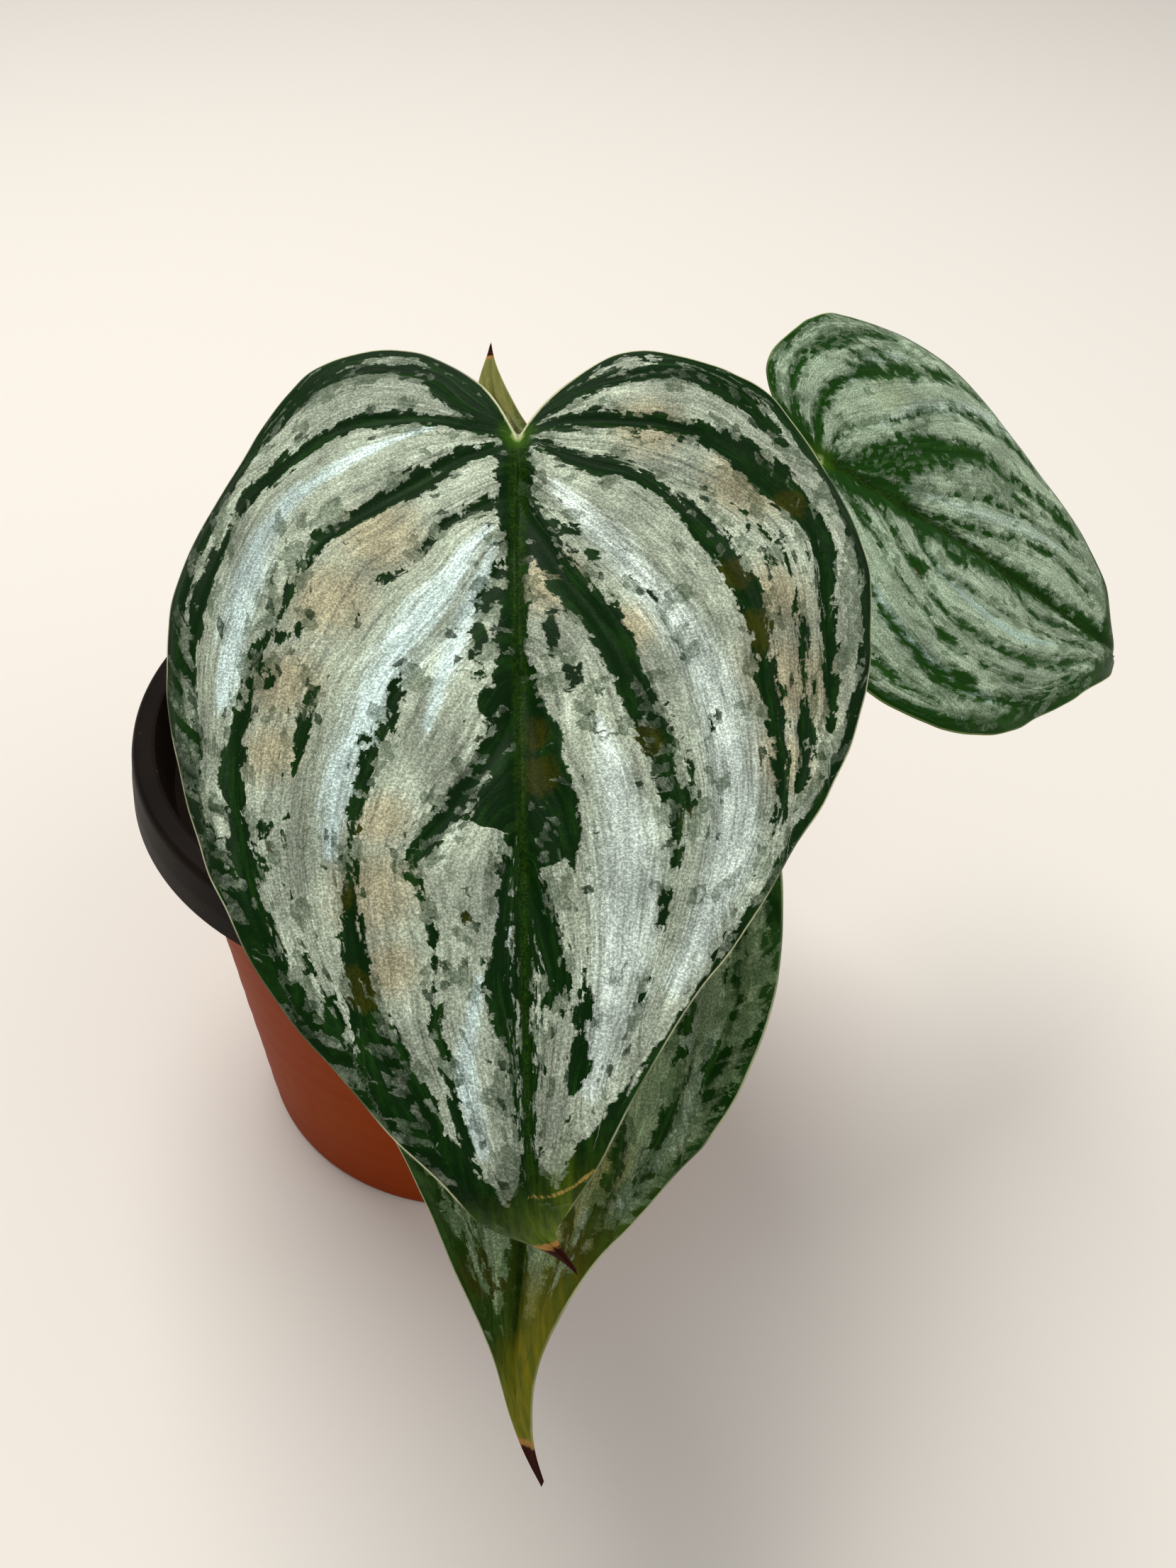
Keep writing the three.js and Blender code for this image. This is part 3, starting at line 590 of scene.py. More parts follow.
leaf3 = {
    "slot": "leaf_silver", "rows": 170, "columns": 60, "colours": "sage",
    "skin": {"Ragged": 0.75, "Seed": 7.7, "Tip Dry": 1.05, "Tip Yellow": 0.95,
             "Tip Lean": 0, "Tip Fade": 0},
    "base": [47.7, 11.4, 109.5], "heading": 94.2, "dip": 30.2, "roll": 21.4, "arch": 9.2, "tipDroop": 42,
    "tipSwing": 2, "fold": 13, "cup": 0.014, "length": 69, "relief": 0.4, "ruffle": 0.3,
    "wave": {"count": 4, "height": 0.6, "phase": 1.2},
    "hook": {"start": 0.93, "side": 0, "forward": 0, "lift": 0, "slim": 0.2},
    "margin": {
        "right": [[0, 0], [-7.7, 3.5], [-10.6, 10.1], [-6.5, 19], [-0.1, 26.3], [8.6, 31.2], [19.6, 31.6],
                  [32.1, 27.7], [45.5, 19.8], [54, 11.2], [57.6, 6.6], [60, 3], [61.8, 0]],
        "left": [[0, 0], [-4.2, 3.8], [-8.8, 10.8], [-8.1, 19.1], [-2.1, 26.8], [8.5, 31.3], [21.2, 32.2],
                 [32.8, 28], [42.8, 19.6], [51.7, 11], [57.2, 6], [60, 2.6], [61.8, 0]],
    },
    "veins": {
        "right": [
            [[16, 0.4, 0.9], [18.5, 1, 0.8], [24, 2.3, 0.5], [29, 3.8, 0.6], [34, 5.5, 0.5],
             [39, 6.8, 0.4], [44, 7.4, 0.5], [52, 5.6, 0.3]],
            [[8, 0.4, 1], [12, 2.2, 0.8], [16, 3.8, 0.4], [20, 5.2, 0.3], [24, 7, 0.35], [28, 8.8, 0.5],
             [31, 9.6, 0.4], [35, 10.4, 0.3], [39, 10.8, 0.4], [43, 11, 0.3], [48, 10.2, 0.2]],
            [[2, 0.4, 1], [6.5, 2.4, 1.8], [10, 5.2, 2.6], [14, 8.6, 3], [17.5, 11, 2.6], [21, 13, 2],
             [24, 14.3, 1.7], [27.5, 15.6, 1.4], [31, 15, 1], [35, 15.3, 0.8], [40, 15.6, 0.7],
             [44, 15.1, 1], [47.5, 14.1, 0.8]],
            [[1, 0.5, 0.3], [2.2, 5.5, 0.2], [6.4, 9.2, 0.2], [11, 12.6, 0.25], [15, 16.2, 0.3],
             [19.5, 19.7, 0.4], [23.5, 21.5, 0.5], [28.5, 22.6, 0.7], [35, 22.6, 0.7], [41, 20.6, 0.3]],
            [[-0.6, 0.6, 0.9], [-2, 5, 1.2], [-1.5, 9, 0.9], [0, 12, 0.8], [2, 14.5, 0.8], [5, 17.2, 1.2],
             [8.5, 19.8, 1.4], [11.5, 22, 1.4], [15, 24.5, 1], [18, 26.4, 1.2], [22, 27.4, 0.6],
             [27, 27.2, 0.5]],
            [[-1.6, 0.8, 0.9], [-5, 4, 1.1], [-6.6, 8, 0.5], [-6.2, 12, 0.6], [-4.6, 15, 0.8],
             [-2.8, 17.4, 1.2], [-0.8, 20, 1.2], [2.2, 23, 0.9], [6, 26.4, 1], [10, 28.8, 0.8]],
        ],
        "left": [
            [[34, 0.4, 0.9], [38, 5.4, 0.3], [42, 5.2, 0.5], [46, 3.6, 0.5], [52, 2, 0.3]],
            [[14, 0.6, 1.4], [19, 8.4, 0.3], [24, 8.7, 0.3], [30, 9.2, 0.2], [38, 8.8, 0.2],
             [46, 6.2, 0.3], [52, 4, 0.3]],
            [[7, 0.6, 1.4], [12, 7.6, 0.5], [15, 11, 0.9], [17.5, 13.5, 0.5], [21, 15.3, 0.8],
             [25, 15.8, 1.2], [29, 16.1, 0.9], [32, 15.8, 0.8], [36, 14.6, 0.9], [40, 13.3, 0.9],
             [43.5, 11.8, 0.9], [47, 9.4, 0.9], [51, 6.8, 0.5]],
            [[1.4, 0.6, 1.5], [5, 6, 1.2], [9, 10.4, 0.5], [13, 14.7, 0.3], [18, 18.2, 0.4],
             [21, 19.6, 0.8], [26, 20.2, 0.4], [32, 19.8, 0.4], [36, 18.8, 0.5], [41, 16.6, 0.4],
             [46, 13, 0.3]],
            [[-0.2, 0.6, 1], [1.6, 8, 0.9], [5, 15, 0.5], [10, 20.6, 0.6], [13, 22.2, 0.8], [17, 24.2, 1],
             [21, 25.8, 1.4], [24.5, 25.5, 1.2], [28, 25, 1], [31.5, 23.7, 1], [36, 22.2, 1.2],
             [40, 19.9, 1.2], [44, 16.8, 1.2]],
            [[-1.4, 0.6, 1], [-4, 7, 1], [-3.6, 14, 0.7], [0, 20, 0.8], [5, 25.4, 0.8], [12, 28.6, 0.7],
             [20, 29.6, 0.5]],
        ],
    },
    "marginBand": {
        "right": [3, 2, 0.8, 0.9, 0.8, 0.8, 0.6, 0.5, 0.6, 1.2, 3, 4, 4],
        "left": [3, 1.6, 1, 1, 1.3, 1.4, 1.8, 3.2, 2.6, 2.6, 3, 3, 3],
    },
    "ribBand": {
        "right": [[-4, 2], [5, 2], [10, 2.8], [15, 2], [20, 0.9], [26, 0.8], [30, 1.3], [35, 2],
                  [40, 1.8], [48, 1.2], [60, 3]],
        "left": [[-4, 3], [3, 5], [8, 4.6], [13, 3.6], [18, 4.2], [23, 4.8], [27, 4.4], [31, 3.4],
                 [35, 3], [40, 2.2], [48, 1.4], [60, 3]],
    },
    "islands": [[4, 19.2, 0.7, 1.6], [7, 22.4, 0.7, 1.6], [2, 16.4, 0.5, 1], [12.5, 27, 0.5, 1.4],
                [45, 15.2, 0.8, 2.4], [31, -26, 0.9, 2.4], [23, -4.5, 1.2, 2.6], [15.5, -10.4, 1.8, 2],
                [20, -19.6, 1, 1.6], [27, 21.8, 0.8, 2.2], [33, 22.4, 0.8, 1.8], [12, 4.5, 1.4, 2.4],
                [20.5, 9.5, 1, 1.8], [36, 12.6, 0.5, 2], [44.6, 14.2, 1.1, 2.4], [24, -24, 1.2, 2.6],
                [38, -20.6, 1, 2]],
    "stains": [[15.4, -11.6, 1]],
    "warmth": [[10, 16, 6]],
    "highlightStrips": [
        [[14, 3, 0.8], [24, 5, 1.8], [34, 8, 1.8], [44, 9.6, 1.2]],
        [[8, 10, 1], [16, 18, 2], [26, 24, 1.8], [34, 24.6, 1]],
        [[16, -6, 0.6], [24, -11, 1.2], [34, -12, 1.1], [42, -9, 0.6]],
        [[2, 14, 0.8], [6, 21, 1.4], [12, 25.4, 1]],
        [[5, -15, 0.8], [13, -22, 1.5], [23, -25, 1.2], [32, -24, 0.7]],
    ],
    "veilsAndSheen": [
        [[-8, 4, 1.4], [-8, 12, 2.4], [-2, 20, 2.6], [6, 27, 2.4]],
        [[2, 2, 1.4], [10, 5, 3], [18, 10, 3], [26, 14, 2]],
        [[20, -3, 1.6], [30, -3, 2.4], [42, -2, 2]],
        [[14, -28, 2], [26, -28, 3], [38, -22, 3], [50, -12, 2.4]],
        [[8, 28, 1], [20, 30, 2], [32, 26, 2], [46, 17, 1.6]],
    ],
}

leaf4 = {
    "slot": "leaf_green", "rows": 120, "columns": 40, "colours": "olive",
    "skin": {"Ragged": 0.4, "Seed": 9.2, "Tip Dry": 0.95, "Tip Yellow": 0.72,
             "Tip Lean": 0, "Tip Fade": 0.1},
    "base": [9.6, 25, 71.4], "heading": 200, "dip": -54, "roll": -4, "arch": 8, "tipDroop": 6,
    "tipSwing": -0.6, "fold": 13, "cup": 0.014, "length": 44, "relief": 0.8, "ruffle": 0.1,
    "wave": {"count": 4, "height": 0.4, "phase": 0},
    "hook": {"start": 0.9, "side": -0.5, "forward": 0, "lift": 0, "slim": 0.2},
    "margin": {
        "right": [[0, 0], [-2.2, 2.3], [-5.2, 5.6], [-4.6, 10], [-1, 13.8], [5.4, 15.8], [12.6, 15.8],
                  [19.6, 13], [25.6, 8.6], [31, 4.8], [36, 2.8], [40.2, 1.4], [44, 0]],
        "left": [[0, 0], [-2.2, 2.3], [-5.2, 5.6], [-4.6, 10], [-1, 13.8], [5.4, 15.8], [12.6, 15.4],
                 [19.6, 12], [25.6, 7.4], [31, 3.9], [36, 2], [40.2, 1], [44, 0]],
    },
    "veins": {
        "right": [
            [[14, 0.3, 0.4], [18, 2.4, 0.4], [24, 3.6, 0.3], [30, 2.6, 0.2]],
            [[5, 0.3, 0.5], [9, 4, 0.5], [14, 7.4, 0.4], [20, 7.8, 0.4], [26, 5.6, 0.2]],
            [[0.6, 0.4, 0.5], [2, 5, 0.5], [6, 10, 0.4], [12, 12, 0.4], [18, 11, 0.3]],
            [[-0.4, 0.4, 0.5], [-2, 5, 0.5], [-0.6, 10, 0.4], [4, 13.4, 0.3]],
        ],
        "left": [
            [[14, 0.3, 0.4], [18, 2.4, 0.4], [24, 3.4, 0.3], [30, 2.2, 0.2]],
            [[5, 0.3, 0.5], [9, 4, 0.5], [14, 7.2, 0.4], [20, 7.4, 0.4], [25, 5, 0.2]],
            [[0.6, 0.4, 0.5], [2, 5, 0.5], [6, 10, 0.4], [12, 12, 0.4], [17.4, 10.6, 0.3]],
            [[-0.4, 0.4, 0.5], [-2, 5, 0.5], [-0.6, 10, 0.4], [4, 13.4, 0.3]],
        ],
    },
    "marginBand": {
        "right": [1, 1, 0.8, 0.8, 0.9, 1, 1, 0.9, 0.8, 0.8, 1, 1, 1],
        "left": [1, 1, 0.8, 0.8, 0.9, 1, 1, 0.9, 0.8, 0.8, 1, 1, 1],
    },
    "ribBand": {
        "right": [[-2, 0.8], [10, 0.9], [28, 0.5], [44, 0.5]],
        "left": [[-2, 0.8], [10, 0.9], [28, 0.5], [44, 0.5]],
    },
    "islands": [[14, 10, 0.4, 1.2], [10, -8, 0.4, 1.2]],
    "stains": [[12, 6, 4], [18, -4, 4]],
    "warmth": [[20, 2, 8]],
    "highlightStrips": [[[8, 6, 1], [16, 9, 1.6], [22, 7, 1]], [[8, -6, 1], [16, -9, 1.6], [22, -6, 1]]],
    "veilsAndSheen": [
        [[2, 12, 1.4], [12, 14, 2], [24, 8, 2], [34, 2, 1.4]],
        [[2, -12, 1.4], [12, -14, 2], [24, -8, 2], [34, -2, 1.4]],
    ],
}
leaves = [leaf1, leaf2, leaf3, leaf4]


def midribAngle(leaf, along):
    # minus (arch times the share of the length, plus tipDroop eased in over the tip)
    share = along / leaf["length"]
    return -np.radians(leaf["arch"] * share + leaf["tipDroop"] * smoothstep(share, bladeForm["tipStart"], 1))


def midribPlace(leaf, along):
    # [forward, up] = the integral of [cos, sin] of the midrib's angle, from the notch
    steps = np.linspace(*bladeForm["midribSpan"], bladeForm["midribSteps"]) * leaf["length"]
    angle = midribAngle(leaf, (steps[1:] + steps[:-1]) / 2)
    size = steps[1] - steps[0]
    places = [np.concatenate([[0], np.cumsum(turn(angle) * size)]) for turn in (np.cos, np.sin)]
    return [np.interp(along, steps, p - np.interp(0, steps, p)) for p in places]


def leafAxes(leaf):
    # along the midrib at the notch, across to its right, and out of the upper face
    heading, dip, roll = np.radians([leaf["heading"], leaf["dip"], leaf["roll"]])
    level, upward = np.array([np.sin(heading), -np.cos(heading), 0]), np.array([0, 0, 1.0])
    along = np.cos(dip) * level - np.sin(dip) * upward
    outward = np.sin(dip) * level + np.cos(dip) * upward
    across = np.cross(outward, along)
    right = np.cos(roll) * across + np.sin(roll) * outward
    return along, right, np.cos(roll) * outward - np.sin(roll) * across


def bladeMargin(leaf, side, row):
    # the margin's curve, moved away from the blade's middle by ruffle * two sizes of patchy noise
    form, edge = bladeForm, marginCurve(leaf["margin"][side], row)
    bumps = patchyNoise(row * form["bumps"] + 3, 0 * row + 5.5, 6) - 0.75
    bumps += 0.5 * patchyNoise(row * form["smallBumps"] + 3, 0 * row + 9.5, 8)
    bumps *= smoothstep(row, *form["bumpsGrow"]) * (1 - smoothstep(row, *form["bumpsFade"]))
    away = edge - np.array([form["middle"] * leaf["length"], 0])
    away = away / np.linalg.norm(away, axis=-1, keepdims=True)
    return edge + away * (leaf["ruffle"] * form["bumpSize"] * bumps)[..., None]


def flatPlace(leaf, column, row):
    # along = rib + (edge - rib) * |column|, across = edge * |column|, with rib = tip * row^crowding
    edge = np.where((column < 0)[..., None], bladeMargin(leaf, "left", row), bladeMargin(leaf, "right", row))
    part = np.abs(column)
    rib = leaf["margin"]["right"][-1][0] * row ** bladeForm["rowCrowding"]
    along = rib + (edge[..., 0] - rib) * part
    across = np.maximum(edge[..., 1], 0) * part
    slim = leaf["hook"]["slim"] * smoothstep(along / leaf["length"], leaf["hook"]["start"] - 0.04, 1)
    return along, across * (1 - slim)


def bladeMiddle(leaf, column, row):
    # base + forward * along axis + side * across axis + lift * outward axis, where the side and lift of a
    # section follow an arc whose slope starts at the fold and falls by cup a millimetre
    along, across = flatPlace(leaf, column, row)
    angle = midribAngle(leaf, along)
    forward, up = midribPlace(leaf, along)
    fold, cup, wave, hook = np.radians(leaf["fold"]), leaf["cup"], leaf["wave"], leaf["hook"]
    slope = fold - cup * across
    ripple = wave["height"] * np.abs(column) ** 3 * np.sin(np.pi * row)
    ripple = ripple * np.sin(2 * np.pi * wave["count"] * row + wave["phase"])
    lift = (np.cos(slope) - np.cos(fold)) / cup + ripple
    share = along / leaf["length"]
    swing = leaf["tipSwing"] * smoothstep(share, bladeForm["tipStart"], bladeForm["swingEnd"])
    swing = swing * bladeForm["swingSize"]
    curl = np.clip((share - hook["start"]) / (1 - hook["start"]), 0, 1)
    side = np.sign(column) * (np.sin(fold) - np.sin(slope)) / cup + swing + hook["side"] * curl**1.3
    alongAxis, acrossAxis, outwardAxis = leafAxes(leaf)
    return (
        np.array(leaf["base"])
        + (forward - np.sin(angle) * lift + hook["forward"] * curl**2)[..., None] * alongAxis
        + side[..., None] * acrossAxis
        + (up + np.cos(angle) * lift + hook["lift"] * curl**2)[..., None] * outwardAxis
    )


def curveField(points, along, across, samples=140):
    # distance to the curve, which side of it, and its third value there: the nearest sample is found first,
    # then the nearest place on the pieces of the curve before and after it
    line = marginCurve(points, np.linspace(0, 1, samples))
    near = ((along[:, None] - line[:, 0]) ** 2 + (across[:, None] - line[:, 1]) ** 2).argmin(1)
    found = []
    for step in (-1, 0):
        start = np.clip(near + step, 0, len(line) - 2)
        way, gap = line[start + 1] - line[start], np.stack([along, across], 1) - line[start, :2]
        share = np.clip((gap * way[:, :2]).sum(1) / (way[:, :2] ** 2).sum(1), 0, 1)
        place = line[start] + way * share[:, None]
        side = np.sign(way[:, 0] * gap[:, 1] - way[:, 1] * gap[:, 0])
        value = place[:, 2] if line.shape[1] > 2 else np.zeros(len(along))
        found.append([np.hypot(along - place[:, 0], across - place[:, 1]), side, value])
    closer = found[0][0] < found[1][0]
    return [np.where(closer, before, after) for before, after in zip(*found)]


def sideFields(leaf, name, along, across, row):
    # for points on one side: flow counts the veins from the midrib out to the margin and runs evenly between
    # them, gap is the distance to the nearest vein, width the panel's width, rim the distance to the margin,
    # and band the distance inside the nearest dark band, negative outside it
    margin = bladeMargin(leaf, name, np.linspace(0, 1, 320))
    rim = curveField(margin, along, across, len(margin))[0]
    found = [curveField(points, along, across) for points in leaf["veins"][name]]
    distance = np.stack([across] + [f[0] for f in found] + [rim])
    inside = np.sum(np.stack([f[1] for f in found]) > 0, axis=0)
    pick = np.arange(len(along))
    inner, outer = distance[inside, pick], distance[inside + 1, pick]
    border = leaf["marginBand"][name]
    border = np.interp(row, np.linspace(0, 1, len(border)), border) - rim
    beside = np.interp(along, *np.transpose(leaf["ribBand"][name])) - across
    # a vein's own band; where its width is 0, the exponential takes 1 mm off, so none is left
    reach = [f[2] - f[0] - np.exp(-np.maximum(f[2], 0) / 0.1) for f in found]
    return {"flow": inside + inner / np.maximum(inner + outer, 1e-3), "gap": np.min(distance[1:-1], axis=0),
            "width": inner + outer, "rim": rim, "band": np.max([border, beside, *reach], axis=0)}


def bladeFields(leaf, column, row):
    # the fields of both sides, with the islands' bands, and fields that fade from 1 in the middle of each
    # stain, beige area, painted highlight strip and veil of thin silver and painted sheen to 0 at its rim;
    # across is minus to the left
    along, across = (a.ravel() for a in flatPlace(leaf, column, row))
    row, left = np.broadcast_to(row, column.shape).ravel(), column.ravel() < 0
    sides = [sideFields(leaf, name, along, across, row) for name in ("right", "left")]
    fields = {key: np.where(left, sides[1][key], sides[0][key]) for key in sides[0]}
    across = np.where(left, -across, across)
    for a, c, wide, long in leaf["islands"]:
        away = np.sqrt(((across - c) / wide) ** 2 + ((along - a) / long) ** 2)
        fields["band"] = np.maximum(fields["band"], np.minimum(wide, long) * (1 - away))
    for title in ("stains", "warmth"):
        fields[title] = [1 - np.hypot(along - a, across - c) / r for a, c, r in leaf[title]]
    for title in ("highlightStrips", "veilsAndSheen"):
        lines = [curveField(line, along, across) for line in leaf[title]]
        fields[title] = [1 - distance / np.maximum(reach, 0.2) for distance, _, reach in lines]
    for title in ("stains", "warmth", "highlightStrips", "veilsAndSheen"):
        fields[title] = np.clip(np.max(fields[title], axis=0), 0, 1)
    scar = curveField(leaf["scar"], along, across)[0] if "scar" in leaf else np.full_like(along, 9.0)
    return {"along": along, "across": across, "scar": scar, **fields}


def bladeRelief(leaf, f):
    # grooves at the midrib and the veins, panels swelling between them as sin(pi * flow), fine ridges along
    # the panels, and a margin that turns down
    form = bladeForm
    share = f["along"] / leaf["length"]
    grown = smoothstep(f["rim"], 0, form["flatRim"]) * (1 - smoothstep(share, *form["reliefFades"]))
    swell = np.minimum(form["quilt"] * f["width"], form["quiltMost"])
    swell = swell * np.abs(np.sin(np.pi * f["flow"])) ** 0.8
    ridges = form["ridge"] * np.sin(2 * np.pi * form["ridges"] * f["flow"])
    drift = patchyNoise(f["along"] / form["driftLength"] + 7, f["across"] / form["driftWidth"] + 9, 4) - 0.5
    groove = form["veinGroove"] * bell(f["gap"], form["veinWidth"])
    midrib = form["midribGroove"] * bell(f["across"], form["midribWidth"])
    midrib = midrib * (1 - smoothstep(share, *form["midribFades"]))
    turned = form["marginCurl"] * (1 - smoothstep(f["rim"], 0, form["curlWidth"]))
    turned = turned * smoothstep(share, *form["curlGrows"])
    return leaf["relief"] * grown * (swell + ridges + form["drift"] * drift - groove) - midrib - turned


def bladeFaces(rows, wide):
    # an upper and a lower grid, walls between them at both margins, and fans to the notch and the tip
    count = rows * wide
    quads = gridFaces(rows, wide, False)
    notch, tip = 2 * count, 2 * count + 1
    first, last = np.arange(wide), count - wide + np.arange(wide)
    atNotch, atTip = np.full(wide - 1, notch), np.full(wide - 1, tip)
    fans = [
        np.stack([atNotch, first[:-1], first[1:]], 1),
        np.stack([atNotch, first[1:] + count, first[:-1] + count], 1),
        np.stack([last[:-1], atTip, last[1:]], 1),
        np.stack([last[1:] + count, atTip, last[:-1] + count], 1),
        np.array([[notch, first[0] + count, first[0]], [notch, first[-1], first[-1] + count]]),
        np.array([[last[0], last[0] + count, tip], [last[-1] + count, last[-1], tip]]),
    ]
    left = np.arange(rows) * wide
    right = left + wide - 1
    walls = [
        np.stack([left[:-1], left[:-1] + count, left[1:] + count, left[1:]], 1),
        np.stack([right[:-1], right[1:], right[1:] + count, right[:-1] + count], 1),
    ]
    return [np.vstack([quads, quads[:, ::-1] + count, *walls]), np.vstack(fans)]


def makeBlade(name, leaf, material):
    # the middle surface's points moved along its normal by relief + thickness / 2 for the upper grid, and by
    # relief - thickness / 2 - keel - ribs for the lower one
    form, rows = bladeForm, leaf["rows"] - 1
    columns = np.linspace(-1, 1, 2 * leaf["columns"] + 1)
    column, row = np.meshgrid(columns, np.linspace(0, 1, rows + 2)[1:-1])
    points = bladeMiddle(leaf, column, row)
    normal = np.cross(np.gradient(points, axis=0), np.gradient(points, axis=1))
    normal /= np.linalg.norm(normal, axis=-1, keepdims=True)
    fields = bladeFields(leaf, column, row)
    relief = bladeRelief(leaf, fields)
    inward = smoothstep(fields["rim"], 0, form["thinMargin"])
    half = (form["marginThickness"] + (form["thickness"] - form["marginThickness"]) * inward) / 2
    share = fields["along"] / leaf["length"]
    keel = form["keel"] * bell(fields["across"], form["keelWidth"])
    keel *= (1 - smoothstep(share, *form["keelFades"])) * smoothstep(share, *form["keelGrows"])
    ribs = form["rib"] * bell(fields["gap"], form["ribWidth"]) * inward
    ribs *= 1 - smoothstep(share, *form["ribsFade"])
    points, normal = points.reshape(-1, 3), normal.reshape(-1, 3)
    upper = points + normal * (relief + half)[:, None]
    lower = points + normal * (relief - half - keel - ribs)[:, None]
    ends = [bladeMiddle(leaf, np.zeros(1), np.array([at]))[0] for at in (0.0, 1.0)]
    wide = column.shape[1]
    both = {key: np.concatenate([v, v, [v[wide // 2], v[-wide // 2]]]) for key, v in fields.items()}
    both["band"][-2:] = [1.0, 3.0]  # dark at the notch and the tip
    both["along"][-2:] = [0, leaf["length"]]
    both["across"][-2:] = 0
    under = np.concatenate([np.zeros(column.size), np.ones(column.size), [0.5, 0.5]])
    reach = np.hypot(both["along"], both["across"])
    flow = np.where(both["across"] < 0, -1, 1) * (both["flow"] + 0.5)
    titles = {"band": "band", "rim": "rim", "stain": "stains", "warmth": "warmth", "scar": "scar",
              "paintedHighlight": "highlightStrips", "veilAndSheen": "veilsAndSheen"}
    points = np.vstack([upper, lower, ends])
    makePiece(
        f"{name}_blade", points, bladeFaces(rows, wide), [material], name,
        attributes={"under": under, **{title: both[key] for title, key in titles.items()}},
        maps={"blade": np.stack([both["along"], both["across"]], 1) / form["mapUnit"],
              "veins": np.stack([flow / form["mapVeins"], reach / form["mapUnit"]], 1)},
    )


# How the skin's patterns are made. A scale says how fine a pattern is: across and along the veins, or one
# number a millimetre, and for the grain a metre. A push is how far a pattern moves the dark bands' edges,
# in millimetres. A range is (low, high) of what is eased, with what it becomes at the two where that isn't
# 0 and 1. The ranges of the yellow tip, the ring and the dry end are added to the leaf's own shares.
bladePattern = {
    "jagScale": 1.3, "streakScale": (9, 0.15), "fineStreakScale": (30, 0.3), "cloudScale": (1.6, 0.16),
    "cellScale": (4.4, 0.62), "smallCellScale": (8.5, 1.15), "grainScale": 4200, "driftScale": 0.13,
    "softScale": (0.22, 1.3),  # along and across the blade
    "rimScale": 0.055,
    "cellPush": 1.9, "cloudPush": 2.6, "jagPush": 1.1, "smallCellPush": 0.8,
    "nearBand": (-3.4, -0.2), "fleckPower": 2.5, "flecks": 0.09, "thinPower": 1.6, "thinPlaces": 0.19,
    "veiled": 0.42, "thinness": (0.3, 0.6, 0.25, 0.6),
    # sparkle: how far the grain lifts and lowers the silver's tone, its brightest specks painted sparkle
    "sparkle": (0.38, 0.68, 0.66, 1.42), "drift": (0.34, 0.6, 0.7, 1.12), "lines": 3.2, "darkest": 0.35,
    "fineVeins": 2, "fineVeinWidth": (0.01, 0.06, 1, 0), "fineVeinFade": (0.4, 0.6, 0.25, 1),
    "fineVeinDepth": 0.28,
    # the strips of painted highlight: how they are eased in, how strongly they cover the silver, and across
    # which span they turn to the blue of a painted sky reflection
    "warmRange": (0.02, 0.8), "highlightRange": (0, 0.95), "highlightStrength": 0.76, "skyReflectionSide": (-8, 4),
    "greenRange": (0.42, 0.72), "stainRange": (0.1, 0.5), "stainStrength": 0.72,
    "mottle": (0.35, 0.65, 0.08, 0.4),
    "ribWidth": (0.7, 1.5, 0.8, 0), "notchGreen": (1.3, 3.8, 0.75, 0), "notchPale": (0.7, 1.3, 0.9, 0),
    "underRib": (0.5, 1.1, 1, 0), "tipSide": (-3, 4, 0.15, 1), "leanSide": (-4, 4, -1, 1),
    "tipYellow": (-0.06, 0.08), "yellowStrength": 0.85, "ring": (-0.012, -0.006), "dry": (-0.003, 0.003),
    "scarWidth": (0, 0.24, 1, 0), "rimNearNotch": (5, 13, 0.55, 1), "rimWidth": (0.06, 0.19, 1, 0),
    "notchRim": (6, 14, 0.95, 0), "brokenRim": (0.42, 0.56, 0.2, 0.95),
    "ridges": 7, "ridgeHeight": 0.05, "grainRoughness": 0.18, "roughness": 0.32,
}
bladeTints = {  # colours that all four blades share
    # blue tint on the highlights of the blades' left halves: a painted reflection of the sky
    "skyReflectionTint": (0.86, 0.94, 1.0, 1),
    "stainDark": (0.018, 0.024, 0.001, 1), "stainLight": (0.052, 0.048, 0.002, 1),
    "ribDark": (0.003, 0.018, 0.001, 1), "ribLight": (0.030, 0.078, 0.003, 1),
    "notchGreen": (0.055, 0.14, 0.006, 1), "notchPale": (0.36, 0.46, 0.16, 1),
    "underLight": (0.085, 0.17, 0.055, 1), "underBand": (0.04, 0.10, 0.025, 1),
    "underRib": (0.18, 0.30, 0.08, 1), "scar": (0.42, 0.30, 0.07, 1), "ring": (0.40, 0.21, 0.05, 1),
    "dryDark": (0.010, 0.002, 0.001, 1), "dryLight": (0.060, 0.010, 0.004, 1),
}


